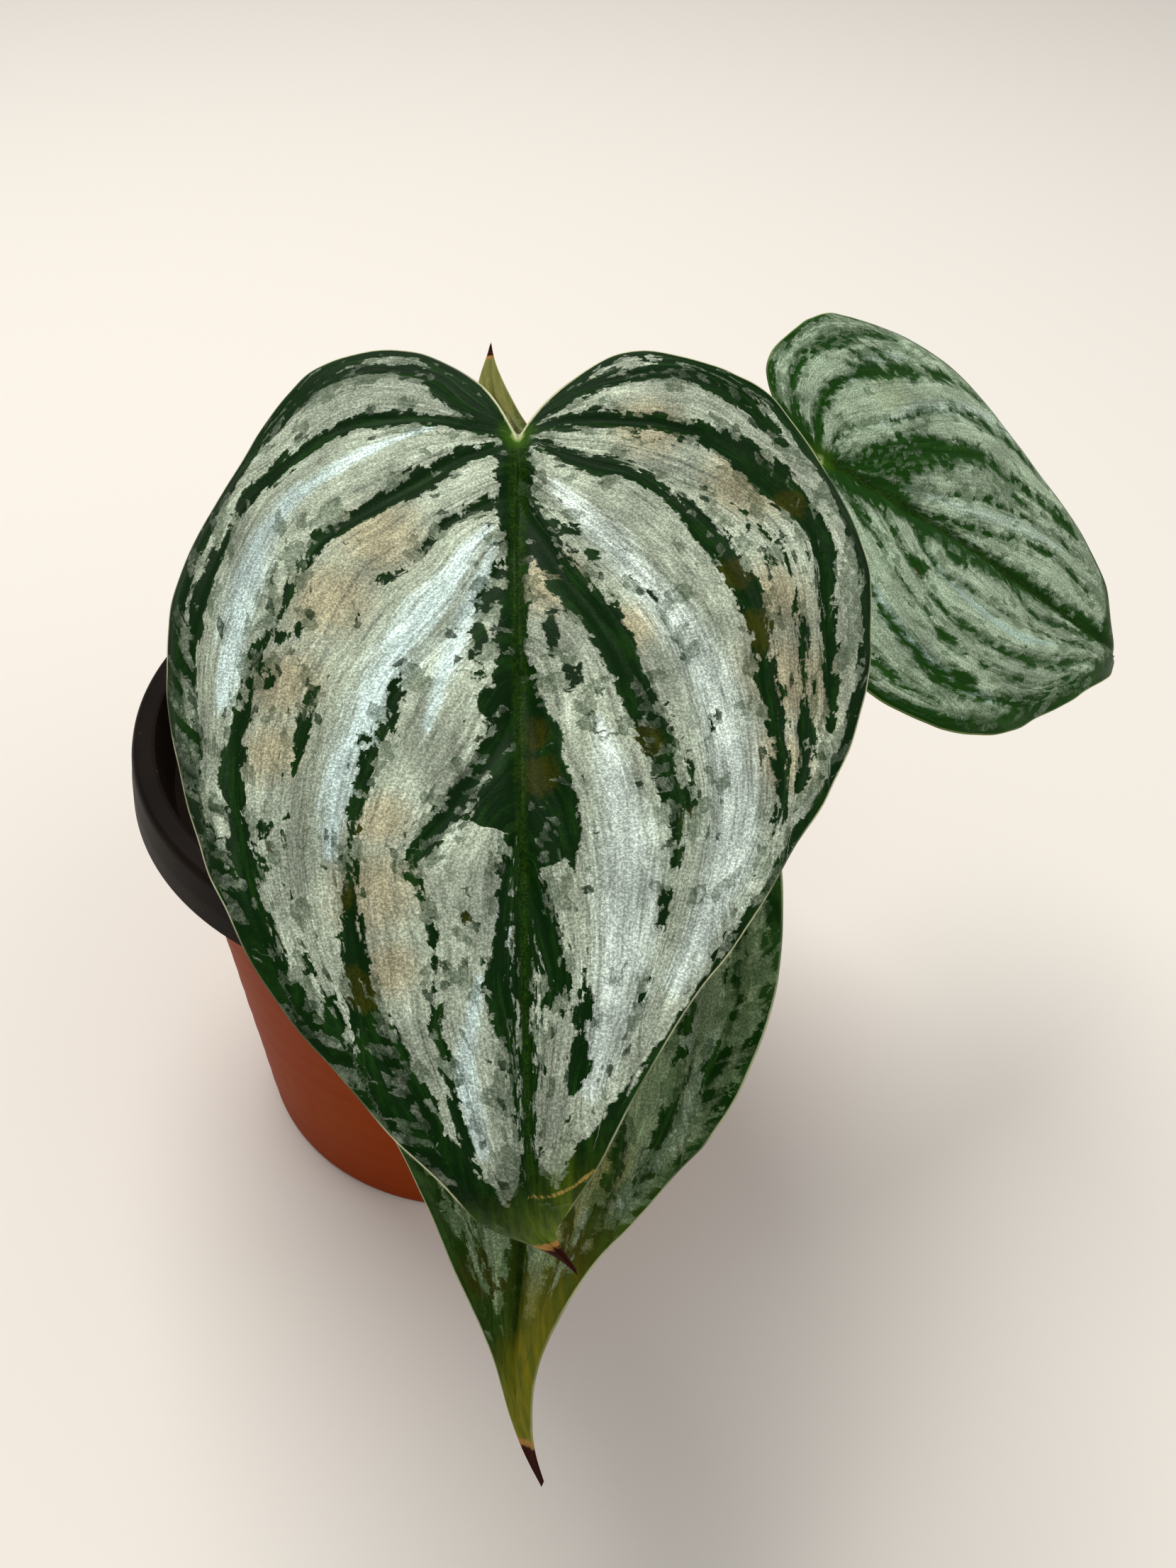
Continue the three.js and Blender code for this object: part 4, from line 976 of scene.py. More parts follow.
def makeBladeSkin(p, tint):
    # silver panels over dark green bands: the distance inside a band plus cells and clouds that run along
    # the veins, cut sharply; flow counts the veins, and reach is the distance from the notch
    g, given = newGroup(
        "bladeSkin",
        ["Silver", "Warm", "Highlight", "Dark", "Green", "Under", "Edge And Rim Light", "Tip"],
        ["Ragged", "Soft", "Cell Size", "Contrast", "Sheen", "Tip Yellow", "Tip Dry", "Tip Lean", "Tip Fade",
         "Length", "Seed"],
        ["Roughness", "Metallic", "Height"],
    )
    along, across = (axis * bladeForm["mapUnit"] for axis in mapAxes(g, "blade"))
    flow, reach = mapAxes(g, "veins")
    flow, reach = flow * bladeForm["mapVeins"], reach * bladeForm["mapUnit"]
    band, rim, under = (attribute(g, title) for title in ("band", "rim", "under"))
    place, seed = vector(along, across, given["Seed"]), given["Seed"]

    def flowing(scale, shift=0.0):  # a place measured across and along the veins
        return vector(flow * scale[0] + shift, reach * scale[1] + shift, seed)

    jag = noise(place, p["jagScale"], 4, 0.7)
    streak = noise(flowing(p["streakScale"]), 1, 3, 0.6)
    fineStreak = noise(flowing(p["fineStreakScale"], push(jag, 0.6)), 1, 2, 0.6)
    lined = streak * 0.5 + fineStreak * 0.5
    cloud = noise(flowing(p["cloudScale"]), 1, 3, 0.6)
    finer = 1 / given["Cell Size"]
    cell = cellShade(flowing(p["cellScale"], push(jag, 1.3)), finer, "CHEBYCHEV")
    smallCell = cellShade(flowing(p["smallCellScale"], push(jag, 1.1)), finer, "CHEBYCHEV")
    # the veils: thin silver, and on some dark parts painted sheen
    veilAndSheen = ease(attribute(g, "veilAndSheen") + push(cloud, 0.8), 0, 0.8)
    grain = noise(objectPlace(g), p["grainScale"], 2, 0.7)

    # where it is dark green, and where the silver thins out
    pushed = push(cell, p["cellPush"]) + push(cloud, p["cloudPush"])
    pushed = pushed + push(jag, p["jagPush"]) + push(smallCell, p["smallCellPush"])
    near = ease(band + push(cloud, 3), *p["nearBand"])
    fleck = smallCell < (near ** p["fleckPower"] * p["flecks"] + 0.001) * given["Ragged"]
    fleck = fleck * ease(given["Soft"], 0.1, 0.3, 1, 0)
    dark = larger(ease(pushed * given["Ragged"] + band, given["Soft"] * -1, given["Soft"]), fleck)
    thin = cell < near ** p["thinPower"] * p["thinPlaces"] + veilAndSheen * p["veiled"] + 0.008
    thin = thin * ease(jag, *p["thinness"])

    # silver: lengthwise lines, grain with painted sparkle, fine side veins, beige areas, and painted
    # highlights that are tinted blue towards the left as a painted reflection of the sky
    drift = noise(vector(along * 0.7, across, seed), p["driftScale"], 3, 0.6)
    between = calc("FRACT", flow * p["fineVeins"] + push(cloud, 0.3))
    fineVein = ease(abs(push(between, 1)), *p["fineVeinWidth"]) * ease(jag, *p["fineVeinFade"])
    tone = push(lined, p["lines"]) * given["Contrast"] + (fineVein * -p["fineVeinDepth"] + 0.97)
    # the grain lifts and lowers the silver's tone; its brightest specks are painted sparkle
    tone = larger(tone, p["darkest"]) * ease(grain, *p["sparkle"]) * ease(drift, *p["drift"])
    warm = ease(attribute(g, "warmth") + push(lined, 1.2), *p["warmRange"])
    # where the painted highlight lies: along its strips, broken up by the lines
    highlightMask = ease(attribute(g, "paintedHighlight") + push(lined, 1.9), *p["highlightRange"])
    # the highlight tinted blue on the left of the midrib, as a painted reflection of the sky
    skyReflected = mixColour(1.0, given["Highlight"], tint["skyReflectionTint"], "MULTIPLY")
    paintedHighlight = mixColour(ease(across, *p["skyReflectionSide"]), skyReflected, given["Highlight"])
    silver = mixColour(warm, given["Silver"], given["Warm"])
    silver = mixColour(highlightMask * p["highlightStrength"], silver, paintedHighlight)
    silver = mixColour(1.0, silver, vector(tone, tone, tone), "MULTIPLY")
    silver = mixColour(thin, silver, given["Green"])

    # green: streaks, stains, a shift towards the tip's colour, and mottled silver under the veils, partly
    # painted sheen
    share = along / given["Length"] + push(jag, 0.02)
    stain = ease(attribute(g, "stain") + push(jag, 0.9), *p["stainRange"])
    stained = mixColour(ease(grain + push(streak, 0.8), 0.3, 0.7), tint["stainDark"], tint["stainLight"])
    fading = ease(share, given["Tip Yellow"] - 0.3, given["Tip Yellow"], 0, given["Tip Fade"])
    mottled = (smallCell < veilAndSheen * p["veiled"] + 0.03) * ease(jag, *p["mottle"])
    green = mixColour(ease(streak + push(jag, 0.4), *p["greenRange"]), given["Dark"], given["Green"])
    green = mixColour(stain * p["stainStrength"], green, stained)
    green = mixColour(fading * ease(across, *p["tipSide"]), green, given["Tip"])
    green = mixColour(mottled, green, silver)
    face = mixColour(dark, silver, green)

    # midrib and notch, then the underside
    ribSide = abs(across)
    ribEdge = ribSide + share * 1.1 + push(jag, 0.7)
    ribGreen = mixColour(ease(grain + push(jag, 0.7), 0.3, 0.8), tint["ribDark"], tint["ribLight"])
    face = mixColour(ease(ribEdge, *p["ribWidth"]), face, ribGreen)
    face = mixColour(ease(jag * 1.8 + reach, *p["notchGreen"]), face, tint["notchGreen"])
    face = mixColour(ease(jag * 0.8 + reach, *p["notchPale"]), face, tint["notchPale"])
    below = mixColour(ease(streak, 0.3, 0.7), given["Under"], tint["underLight"])
    below = mixColour(dark * 0.4, below, tint["underBand"])
    below = mixColour(ease(ribSide, *p["underRib"]), below, tint["underRib"])
    face = mixColour(under, face, below)

    # yellowing tip, dry scar, a pale rim that is partly the margin's own paler tissue and partly painted rim
    # light, and the dried end with a ring before it
    soft = noise(vector(along * p["softScale"][0], across * p["softScale"][1], seed), 1, 3, 0.6)
    leaning = ease(across, *p["leanSide"]) * given["Tip Lean"] + share + push(soft, 0.09)
    yellow = ease(leaning, *(given["Tip Yellow"] + at for at in p["tipYellow"]))
    olive = mixColour(ease(soft, 0.3, 0.7, 0.45, 1), given["Green"], given["Tip"])
    face = mixColour(yellow * p["yellowStrength"], face, olive)
    face = mixColour(ease(attribute(g, "scar") + push(jag, 0.5), *p["scarWidth"]), face, tint["scar"])
    edge = ease(rim * ease(reach, *p["rimNearNotch"]) + push(jag, 0.12), *p["rimWidth"])
    broken = ease(noise(place, p["rimScale"], 2, 0.5), *p["brokenRim"])
    edge = edge * larger(ease(reach, *p["notchRim"]), broken)
    # the pale margin line, brightened where it catches the light: painted rim light
    face = mixColour(edge, face, given["Edge And Rim Light"])
    ring, dry = (ease(share, *(given["Tip Dry"] + at for at in p[title])) for title in ("ring", "dry"))
    face = mixColour(ring, face, tint["ring"])
    face = mixColour(dry, face, mixColour(streak, tint["dryDark"], tint["dryLight"]))

    # finish: the silver is a little metallic, slightly rougher and more deeply grained than the green
    lit = (1 - dark) * (1 - larger(under, yellow))
    roughness = grain * p["grainRoughness"] + lit * 0.04 + p["roughness"] + larger(under, dry) * 0.2
    ridges = calc("SINE", (cloud * 0.14 + flow) * (2 * math.pi * p["ridges"]))
    height = (ridges * p["ridgeHeight"] + lined) * (lit * 0.6 + 0.4) + grain * (lit * 0.3 + 0.3)
    placeNode(g, "NodeGroupOutput", {
        "Color": face, "Roughness": roughness, "Metallic": lit * given["Sheen"] * (highlightMask * 0.5 + 0.5),
        "Height": height - fineVein * 0.3 - dark * 0.12,
    })
    return g


bladeSkin = makeBladeSkin(bladePattern, bladeTints)
bladeBump = {"strength": 0.6, "distance": 0.00025}
bladeShader = {"IOR": 1.45, "Specular IOR Level": 0.06}
# Highlight is the colour of the strips of painted highlight
bladeColours = {
    "silver": {
        "Silver": (0.39, 0.44, 0.325, 1), "Warm": (0.39, 0.362, 0.225, 1), "Highlight": (0.66, 0.76, 0.68, 1),
        "Dark": (0.002, 0.016, 0.001, 1), "Green": (0.008, 0.038, 0.003, 1), "Under": (0.15, 0.25, 0.10, 1),
        "Edge And Rim Light": (0.66, 0.67, 0.40, 1), "Tip": (0.12, 0.185, 0.006, 1),
        "Contrast": 0.68, "Sheen": 0.3, "Soft": 0.09, "Cell Size": 1.0,
    },
    "sage": {
        "Silver": (0.36, 0.455, 0.305, 1), "Warm": (0.37, 0.45, 0.28, 1), "Highlight": (0.46, 0.58, 0.46, 1),
        "Dark": (0.006, 0.040, 0.001, 1), "Green": (0.017, 0.066, 0.006, 1), "Under": (0.13, 0.23, 0.085, 1),
        "Edge And Rim Light": (0.20, 0.27, 0.08, 1), "Tip": (0.05, 0.10, 0.01, 1),
        "Contrast": 0.65, "Sheen": 0.18, "Soft": 0.75, "Cell Size": 0.9,
    },
    # the lower leaf's colours: silver and highlights darker than the top leaf's, as painted shade, and a
    # brighter yellow tip, as painted light
    "dull": {
        "Silver": (0.27, 0.36, 0.19, 1), "Warm": (0.33, 0.35, 0.12, 1), "Highlight": (0.36, 0.46, 0.32, 1),
        "Dark": (0.005, 0.034, 0.001, 1), "Green": (0.024, 0.080, 0.010, 1), "Under": (0.12, 0.21, 0.07, 1),
        "Edge And Rim Light": (0.50, 0.52, 0.30, 1), "Tip": (0.25, 0.22, 0.008, 1),
        "Contrast": 0.6, "Sheen": 0.15, "Soft": 0.4, "Cell Size": 0.9,
    },
    "olive": {
        "Silver": (0.29, 0.31, 0.125, 1), "Warm": (0.32, 0.30, 0.11, 1), "Highlight": (0.36, 0.37, 0.17, 1),
        "Dark": (0.055, 0.085, 0.014, 1), "Green": (0.11, 0.145, 0.028, 1), "Under": (0.19, 0.23, 0.07, 1),
        "Edge And Rim Light": (0.30, 0.30, 0.11, 1), "Tip": (0.28, 0.26, 0.075, 1),
        "Contrast": 0.5, "Sheen": 0.05, "Soft": 0.35, "Cell Size": 0.6,
    },
}

for number, leaf in enumerate(leaves, 1):
    values = {**bladeColours[leaf["colours"]], **leaf["skin"], "Length": leaf["length"]}
    skinName = f"leaf{number}{leaf['colours'].title()}"
    makeBlade(f"leaf_{number}", leaf, finishedMaterial(skinName, bladeSkin, values, bladeBump, bladeShader))
print("four leaf blades made")


# Stem and leaf stalks
stem = {
    "route": [[2, 8, 27], [2, 8, 46], [2, 8, 64], [3.6, 5.6, 76], [5.4, 3, 87], [5.2, 3.6, 97]],
    "thick": 3.4, "thin": 0.9, "taperStart": 0.45, "tipStart": 0.93, "tipThinning": 0.9,
    "sides": 32, "steps": 260,
    "nodes": [0.58, 0.66, 0.76, 0.86], "nodeSwelling": 0.6, "nodeLength": 0.025,
    "scars": (0.012, 0.03), "scarHeight": 0.16, "scarWidth": 0.007, "brown": (0.02, 0.016),  # below, width
    "flutes": [(0.05, 7, 3), (0.04, 11, -9)],  # height, number round the stem, twist
}
stalkForm = {
    "sides": 24, "steps": 150, "sheath": 0.7, "sheathShare": 0.1, "knuckle": 0.25, "knuckleLength": 0.05,
    "kneePlace": 0.93, "channel": 0.14, "channelWidth": 0.7, "channelEnds": 0.8, "tail": 15,
    "tailThinning": 0.72, "ribShares": (0.057, 0.1), "ribClear": 0.7, "tailSunk": 1.0, "scar": (0.5, 0.02),
}
stalks = [  # from: share of the stem's length; knee: along and out from the blade's notch
    {"from": 0.86, "bends": [[9, -8, 104], [11, -15, 116]], "knee": [0.3, -3.9], "radii": (2, 1.3)},
    {"from": 0.76, "bends": [[11, -9, 86], [17.5, -21, 96.5]], "knee": [0.2, -3.6], "radii": (1.9, 1.2)},
    {"from": 0.64, "bends": [[14, 9, 85], [32, 11, 102]], "knee": [0.2, -3.6], "radii": (1.8, 1.2)},
    {"from": 0.58, "bends": [[4.6, 14, 66.8], [9.2, 20.4, 66.6]], "knee": [-3, -2.8], "radii": (1.6, 1)},
]
rodMap = {"turn": 0.1, "unit": 100}  # a full turn's width on the map, and millimetres a unit of its length


def rodPoints(path, radius):
    # path + radius(angle, share) * (cos angle * normal + sin angle * binormal), the normal kept square to
    # the path and to the world axis that the path follows least
    way = np.gradient(path, axis=0)
    way /= np.linalg.norm(way, axis=1, keepdims=True)
    steady = np.eye(3)[np.abs(way).max(0).argmin()]
    normal = np.cross(way, steady)
    normal /= np.linalg.norm(normal, axis=1, keepdims=True)
    across = np.stack([normal, np.cross(way, normal)], 1)
    return path[:, None] + radius[..., None] * (circle(turns(radius.shape[1])) @ across)


def makeRod(name, path, radius, material, node, scar):
    # rings of points along the path, closed by a point at each end
    steps, sides = radius.shape
    points = np.vstack([rodPoints(path, radius).reshape(-1, 3), path[0], path[-1]])
    length = lengthAlong(path)
    along = np.concatenate([np.repeat(length, sides), [0, length[-1]]])
    turn = np.concatenate([np.tile(np.arange(sides) / sides, steps), [0, 0]])
    marks = np.concatenate([np.repeat(scar, sides), [scar[0], scar[-1]]])
    rod = np.stack([turn * rodMap["turn"], along / rodMap["unit"]], 1)
    faces = closedFaces(steps, sides, True)
    makePiece(name, points, faces, [material], node, {"scar": marks}, {"rod": rod})


def makeStalkSkin():
    # satin green with lengthwise lines, pale flecks, and brown where a scar is marked
    g, given = newGroup("stalkSkin", ["Green", "Pale", "Scar"], ["Flecks", "Seed"], ["Roughness", "Height"])
    turn, along = mapAxes(g, "rod")
    turn, along = turn * (2 * math.pi / rodMap["turn"]), along * rodMap["unit"]
    x, y = calc("COSINE", turn), calc("SINE", turn)
    lines = noise(vector(x * 5, y * 5, along * 0.3), 1.2, 3, 0.6)
    cloud = noise(objectPlace(g), 160, 3, 0.55)
    rough = noise(objectPlace(g), 1500, 4, 0.7)
    fleck = cellDistance(vector(x * 3, y * 3, along * 1.1 + given["Seed"]), 1.4)
    marked = ease(rough * 0.5 + attribute(g, "scar"), 0.45, 0.75)
    colour = mixColour(ease(lines + cloud, 0.75, 1.25), given["Green"], given["Pale"])
    colour = mixColour(ease(fleck, 0.10, 0.2, 1, 0) * given["Flecks"], colour, (0.36, 0.45, 0.24, 1))
    placeNode(g, "NodeGroupOutput", {
        "Color": mixColour(marked, colour, given["Scar"]),
        "Roughness": marked * 0.3 + rough * 0.15 + 0.36,
        "Height": marked * rough * 0.8 + lines * 0.5,
    })
    return g


stalkSkin = makeStalkSkin()
stalkGreen = finishedMaterial(
    "stalkGreen", stalkSkin,
    {"Green": (0.075, 0.17, 0.035, 1), "Pale": (0.15, 0.27, 0.075, 1), "Scar": (0.10, 0.055, 0.02, 1),
     "Flecks": 0.7, "Seed": 2.0},
    {"strength": 0.4, "distance": 0.0003}, {"Specular IOR Level": 0.5},
)
stemGreen = finishedMaterial(
    "stemGreen", stalkSkin,
    {"Green": (0.06, 0.125, 0.025, 1), "Pale": (0.12, 0.19, 0.05, 1), "Scar": (0.13, 0.075, 0.035, 1),
     "Flecks": 0.4, "Seed": 5.0},
    {"strength": 0.6, "distance": 0.0005}, {"Specular IOR Level": 0.45},
)


def makeStem(s):
    # radius = taper + a bell at each node + thin ring scars + lengthwise flutes, drawn in to a pointed bud
    path = evenCurve(s["route"], s["steps"])
    share = np.linspace(0, 1, s["steps"])[:, None]
    angle = turns(s["sides"])[None]
    taper = s["thick"] + (s["thin"] - s["thick"]) * smoothstep(share, s["taperStart"], 1)
    bumps = sum(bell(share - node, s["nodeLength"]) for node in s["nodes"])
    rings = sum(bell(share - node + below, s["scarWidth"]) for node in s["nodes"] for below in s["scars"])
    flutes = sum(high * np.cos(count * angle + twist * share) for high, count, twist in s["flutes"])
    tip = 1 - s["tipThinning"] * smoothstep(share, s["tipStart"], 1)
    radius = (taper + s["nodeSwelling"] * bumps + s["scarHeight"] * rings + flutes) * tip
    below, width = s["brown"]
    scar = np.clip(sum(bell(share - node + below, width) for node in s["nodes"]), 0, 1)[:, 0]
    makeRod("stem_shoot", path, radius, stemGreen, "stem", scar)
    return path


def makeStalk(number, stalk, leaf, stemPath):
    # from the stem through its bends and the knee, then thinning along the underside of the midrib; radius =
    # (taper + a sheath that falls away as exp(-share / sheathShare) + a bell at the knee) * tail * channel
    form, (thick, thin) = stalkForm, stalk["radii"]
    along, _, outward = leafAxes(leaf)
    start = stemPath[int(round(stalk["from"] * (len(stemPath) - 1)))]
    knee = np.array(leaf["base"]) + along * stalk["knee"][0] + outward * stalk["knee"][1]
    rows = np.array([*form["ribShares"], form["tail"] / leaf["length"]]) ** (1 / bladeForm["rowCrowding"])
    clear = form["ribClear"]
    sunk = np.array([[thin + clear], [thin * 0.8 + clear], [form["tailSunk"]]])  # below the middle surface
    ribs = bladeMiddle(leaf, np.zeros(3), rows) - outward * sunk
    path = evenCurve([start, *stalk["bends"], knee, *ribs], form["steps"])
    share = np.linspace(0, 1, form["steps"])[:, None]
    kneeShare = np.linalg.norm(path - knee, axis=1).argmin() / (form["steps"] - 1)
    taper = thick + (thin - thick) * np.minimum(share / kneeShare, 1)
    sheath = form["sheath"] * np.exp(-share / form["sheathShare"])
    knuckle = form["knuckle"] * bell(share - kneeShare * form["kneePlace"], form["knuckleLength"])
    tail = 1 - form["tailThinning"] * smoothstep(share, kneeShare, 1)
    fromChannel = (turns(form["sides"])[None] + np.pi / 2) % (2 * np.pi) - np.pi
    ending = 1 - smoothstep(share, kneeShare * form["channelEnds"], kneeShare)
    channel = 1 - form["channel"] * bell(fromChannel, form["channelWidth"]) * ending
    radius = (taper + sheath + knuckle) * tail * channel
    scar = form["scar"][0] * bell(share, form["scar"][1])[:, 0]
    name = f"petiole_{number}"
    makeRod(f"{name}_stalk", path, radius, stalkGreen, name, scar)


stemPath = makeStem(stem)
for number, (stalk, leaf) in enumerate(zip(stalks, leaves), 1):
    makeStalk(number, stalk, leaf, stemPath)
print("stem and stalks made")


# Pot
pot = {
    "rimRadius": 45, "height": 74.8, "wall": 1, "lipWidth": 3.4, "skirtDepth": 7.8, "skirtFlare": 1,
    "shoulderRadius": 39.7, "shoulderHeight": 65.3, "footRadius": 35.2, "footHeight": 0.9,
    "drainInner": 21, "drainOuter": 30.5, "drainRise": 1.2, "holes": 8, "holeRadius": 3.2, "holeRing": 25.7,
    "holeSides": 32, "drillHeights": (-3.0, 7.0), "facets": 192, "bodySteps": 60, "ringSpacing": 5.2,
    "ringHeight": 0.07, "sharpAngle": 38,
}


def potProfile(p):
    # [radius, height] from the middle of the base up the outside to the rim and down the inside again,
    # and whether each stretch is the clay-coloured outer skin
    rim, top, wall, flare = p["rimRadius"], p["height"], p["wall"], p["rimRadius"] + p["skirtFlare"]
    hem, inner, foot, low = top - p["skirtDepth"], rim - p["lipWidth"], p["footRadius"], p["footHeight"]
    shoulder, ledge = p["shoulderRadius"], p["shoulderHeight"]
    within, outer, raised = p["drainInner"], p["drainOuter"], p["drainRise"]
    outside = [[0, 0], [within - 1, 0], [within, raised], [outer, raised], [outer + 1, 0], [foot - 0.8, 0],
               [foot - 0.2, 0.25], [foot, low]]
    heights = np.linspace(low, ledge, p["bodySteps"])[1:]
    slope = (shoulder - foot) / (ledge - low)
    rings = p["ringHeight"] * np.maximum(0, np.cos(2 * np.pi * heights / p["ringSpacing"])) ** 6
    body = np.stack([foot + slope * (heights - low) + rings, heights], 1)
    lip = [
        [inner + 0.1, ledge + 1.2], [inner + 0.4, ledge + 2.4], [inner + 0.9, top - 1.4],
        [inner + 1.4, top - wall], [rim - 1.5, top - wall], [rim - 1.0, top - 1.4],
        [flare - 1.1, hem + 0.2], [flare - 0.9, hem], [flare - 0.2, hem], [flare, hem + 0.25],
        [rim + 0.72 * p["skirtFlare"], hem + 2.6], [rim + 0.6 * p["skirtFlare"], hem + 3.6],
        [rim + 0.5 * p["skirtFlare"], hem + 4], [rim + 0.1, top - 1.3], [rim - 0.1, top - 0.6],
        [rim - 0.45, top - 0.15], [rim - 0.9, top], [rim - 1.9, top - 0.12], [rim - 2.6, top],
        [inner + 0.7, top], [inner + 0.25, top - 0.2], [inner, top - 0.7],
    ]
    inside = [
        [inner - 0.5, ledge + 3.4], [inner - 0.7, ledge + 2.4], [inner - 1.1, ledge + 1.4],
        [shoulder - wall, ledge + 0.5], [shoulder - wall - 0.35, ledge - 5], [foot - wall, 2.2],
        [foot - wall - 1, wall], [outer + 1.3, wall], [outer + 0.4, raised + wall],
        [within - 0.4, raised + wall], [within - 1.3, wall], [0, wall],
    ]
    clay = [1] * (len(outside) + len(body)) + [0] * (len(lip) + len(inside))
    return np.vstack([outside, body, lip, inside]), np.array(clay)


def turnedPoints(profile, facets):
    # (radius cos angle, radius sin angle, height) for each profile point and each angle
    ring = profile[:, None, :1] * circle(turns(facets))
    return np.concatenate([ring, np.broadcast_to(profile[:, None, 1:], (*ring.shape[:2], 1))], -1)


def makePlasticSkin():
    # formed plastic: faint turned rings, long scuffs, specks of dried mix and patches of thin dust
    g, given = newGroup(
        "formedPlastic", ["Base", "Deep", "Dust"], ["Dust Amount", "Roughness"], ["Roughness", "Height"])
    place = objectPlace(g)
    x, y, z = axesOf(place)
    turn, height = calc("ARCTAN2", y, x), z * (1 / mm)
    rings = noise(vector(turn * 0.7, height * 1.6), 1.6, 4, 0.7)
    cloud, fine = noise(place, 45, 4, 0.6), noise(place, 2600, 3, 0.7)
    stretched = {"Vector": place, "Rotation": (0.4, 0.3, 0.9), "Scale": (300, 24, 60)}
    scuff = ease(noise(addNode(g, "ShaderNodeMapping", stretched), 1, 4, 0.7), 0.64, 0.74)
    speck = ease(cellDistance(place, 420), 0.09, 0.16, 1, 0) * ease(cloud, 0.5, 0.62)
    dusty = given["Dust Amount"] * (ease(cloud, 0.4, 0.7) * 0.7 + scuff * 0.5)
    colour = mixColour(ease(rings * 0.4 + cloud * 0.8, 0.35, 0.85), given["Deep"], given["Base"])
    colour = mixColour(dusty, colour, given["Dust"])
    placeNode(g, "NodeGroupOutput", {
        "Color": mixColour(speck * 0.6, colour, (0.05, 0.032, 0.02, 1)),
        "Roughness": fine * 0.12 + given["Roughness"] + scuff * 0.12 + dusty * 0.25,
        "Height": speck * 0.8 + rings * 0.6 + fine * 0.25,
    })
    return g


plasticSkin = makePlasticSkin()
potBump = {"strength": 0.25, "distance": 0.0003}
# the orange plastic, its colour darkened as painted shade from the leaves above
shadedPotClay = finishedMaterial(
    "shadedPotClay", plasticSkin,
    {"Base": (0.275, 0.044, 0.001, 1), "Deep": (0.27, 0.033, 0.002, 1), "Dust": (0.30, 0.10, 0.012, 1),
     "Dust Amount": 0.1, "Roughness": 0.42},
    potBump, {"Specular IOR Level": 0.03},
)
potBlack = finishedMaterial(
    "potBlack", plasticSkin,
    {"Base": (0.009, 0.005, 0.003, 1), "Deep": (0.005, 0.003, 0.002, 1), "Dust": (0.05, 0.03, 0.015, 1),
     "Dust Amount": 0.12, "Roughness": 0.4},
    potBump, {"Specular IOR Level": 0.045},
)


def makeDrills(p):
    # a prism through the base at each drain hole
    middles = p["holeRing"] * circle((np.arange(p["holes"]) + 0.5) / p["holes"] * 2 * np.pi)
    ring, sides = p["holeRadius"] * circle(turns(p["holeSides"])), p["holeSides"]
    points, faces = [], []
    for number, middle in enumerate(middles):
        points += [np.column_stack([middle + ring, np.full(sides, z)]) for z in p["drillHeights"]]
        low = np.arange(sides) + 2 * sides * number
        faces += [low[::-1].tolist(), (low + sides).tolist()]
        faces += np.stack([low, np.roll(low, -1), np.roll(low, -1) + sides, low + sides], 1).tolist()
    mesh = bpy.data.meshes.new("drainDrills")
    mesh.from_pydata((np.vstack(points) * mm).tolist(), [], faces)
    return addObject("drainDrills", mesh)


def makePot(p):
    # the profile turned about Z, one point at each pole, then the drain holes cut through the base
    profile, clay = potProfile(p)
    rings = turnedPoints(profile[1:-1], p["facets"])
    rows, columns = rings.shape[:2]
    points = np.vstack([rings.reshape(-1, 3), [0, 0, 0], [0, 0, p["wall"]]])
    black = 1 - clay[1:-2] * clay[2:-1]
    skin = np.concatenate([np.repeat(black, columns), np.zeros(columns), np.ones(columns)])
    piece = makePiece(
        "pot_shell", points, closedFaces(rows, columns, True), [shadedPotClay, potBlack], "pot", {},
        faceMaterial=skin)
    drill = makeDrills(p)
    cut = piece.modifiers.new("drain", "BOOLEAN")
    cut.object, cut.operation, cut.solver = drill, "DIFFERENCE", "EXACT"
    bpy.context.view_layer.update()
    shaped = bpy.data.meshes.new_from_object(piece.evaluated_get(bpy.context.evaluated_depsgraph_get()))
    piece.modifiers.clear()
    piece.data = shaped
    bpy.data.objects.remove(drill)
    shaped.polygons.foreach_set("use_smooth", np.ones(len(shaped.polygons), bool))
    shaped.set_sharp_from_angle(angle=math.radians(p["sharpAngle"]))


makePot(pot)
print("pot made")


# Potting mix
mix = {
    "top": 60.5, "middleRise": 2.1, "mound": 1.9, "clods": 0.88, "radius": 37.7, "rings": 120, "facets": 300,
    "crumb": 0.9, "seed": 11,
    "crumbs": [(3.1, 40, 1, 1.6), (1.3, 90, 2, 0.9), (0.55, 150, 3, 0.45)],  # size, place, seed and height
    "stemPlace": (2, 8), "stemClear": 5.6,
    "lumpEdge": 2.6, "lumpNarrow": (0.45, 0.8), "lumpDents": 0.3, "lumpLean": 0.35,
    "fibreClear": 4.6, "fibreCount": 46, "fibreSteps": 14, "fibreSides": 5, "fibreReach": 30,
    "fibreLength": (4, 12), "fibreBend": (-1.6, 1.6), "fibreEdge": 1.5, "fibreRadius": (0.12, 0.3),
    "fibreRaised": 0.25,
}
lumps = [
    {"name": "bark_chips", "count": 210, "size": (2.2, 6.0), "flatness": (0.25, 0.5),
     "roundness": 0.6, "sunk": 0.15},
    {"name": "white_grit", "count": 120, "size": (0.8, 2.1), "flatness": (0.7, 1.0),
     "roundness": 0.85, "sunk": 0.3},
]


def mixHeight(x, y):
    # the solid's own mound and clods, plus crumbs from three sizes of patchy noise
    reach = np.hypot(x, y)
    mound = mix["top"] + mix["middleRise"] - mix["mound"] * np.clip(reach / mix["radius"], 0, 1) ** 1.3
    clods = np.sin(0.41 * x + 0.9) * np.cos(0.47 * y) + 0.6 * np.sin(0.83 * x - 0.71 * y)
    crumbs = 0
    for size, at, seed, high in mix["crumbs"]:
        crumbs = crumbs + (patchyNoise(x / size + at, y / size + at, seed) - 0.5) * high
    inside = smoothstep(mix["radius"] + 0.4 - reach, 0, 3)
    return mound + (mix["clods"] * clods + mix["crumb"] * crumbs) * inside


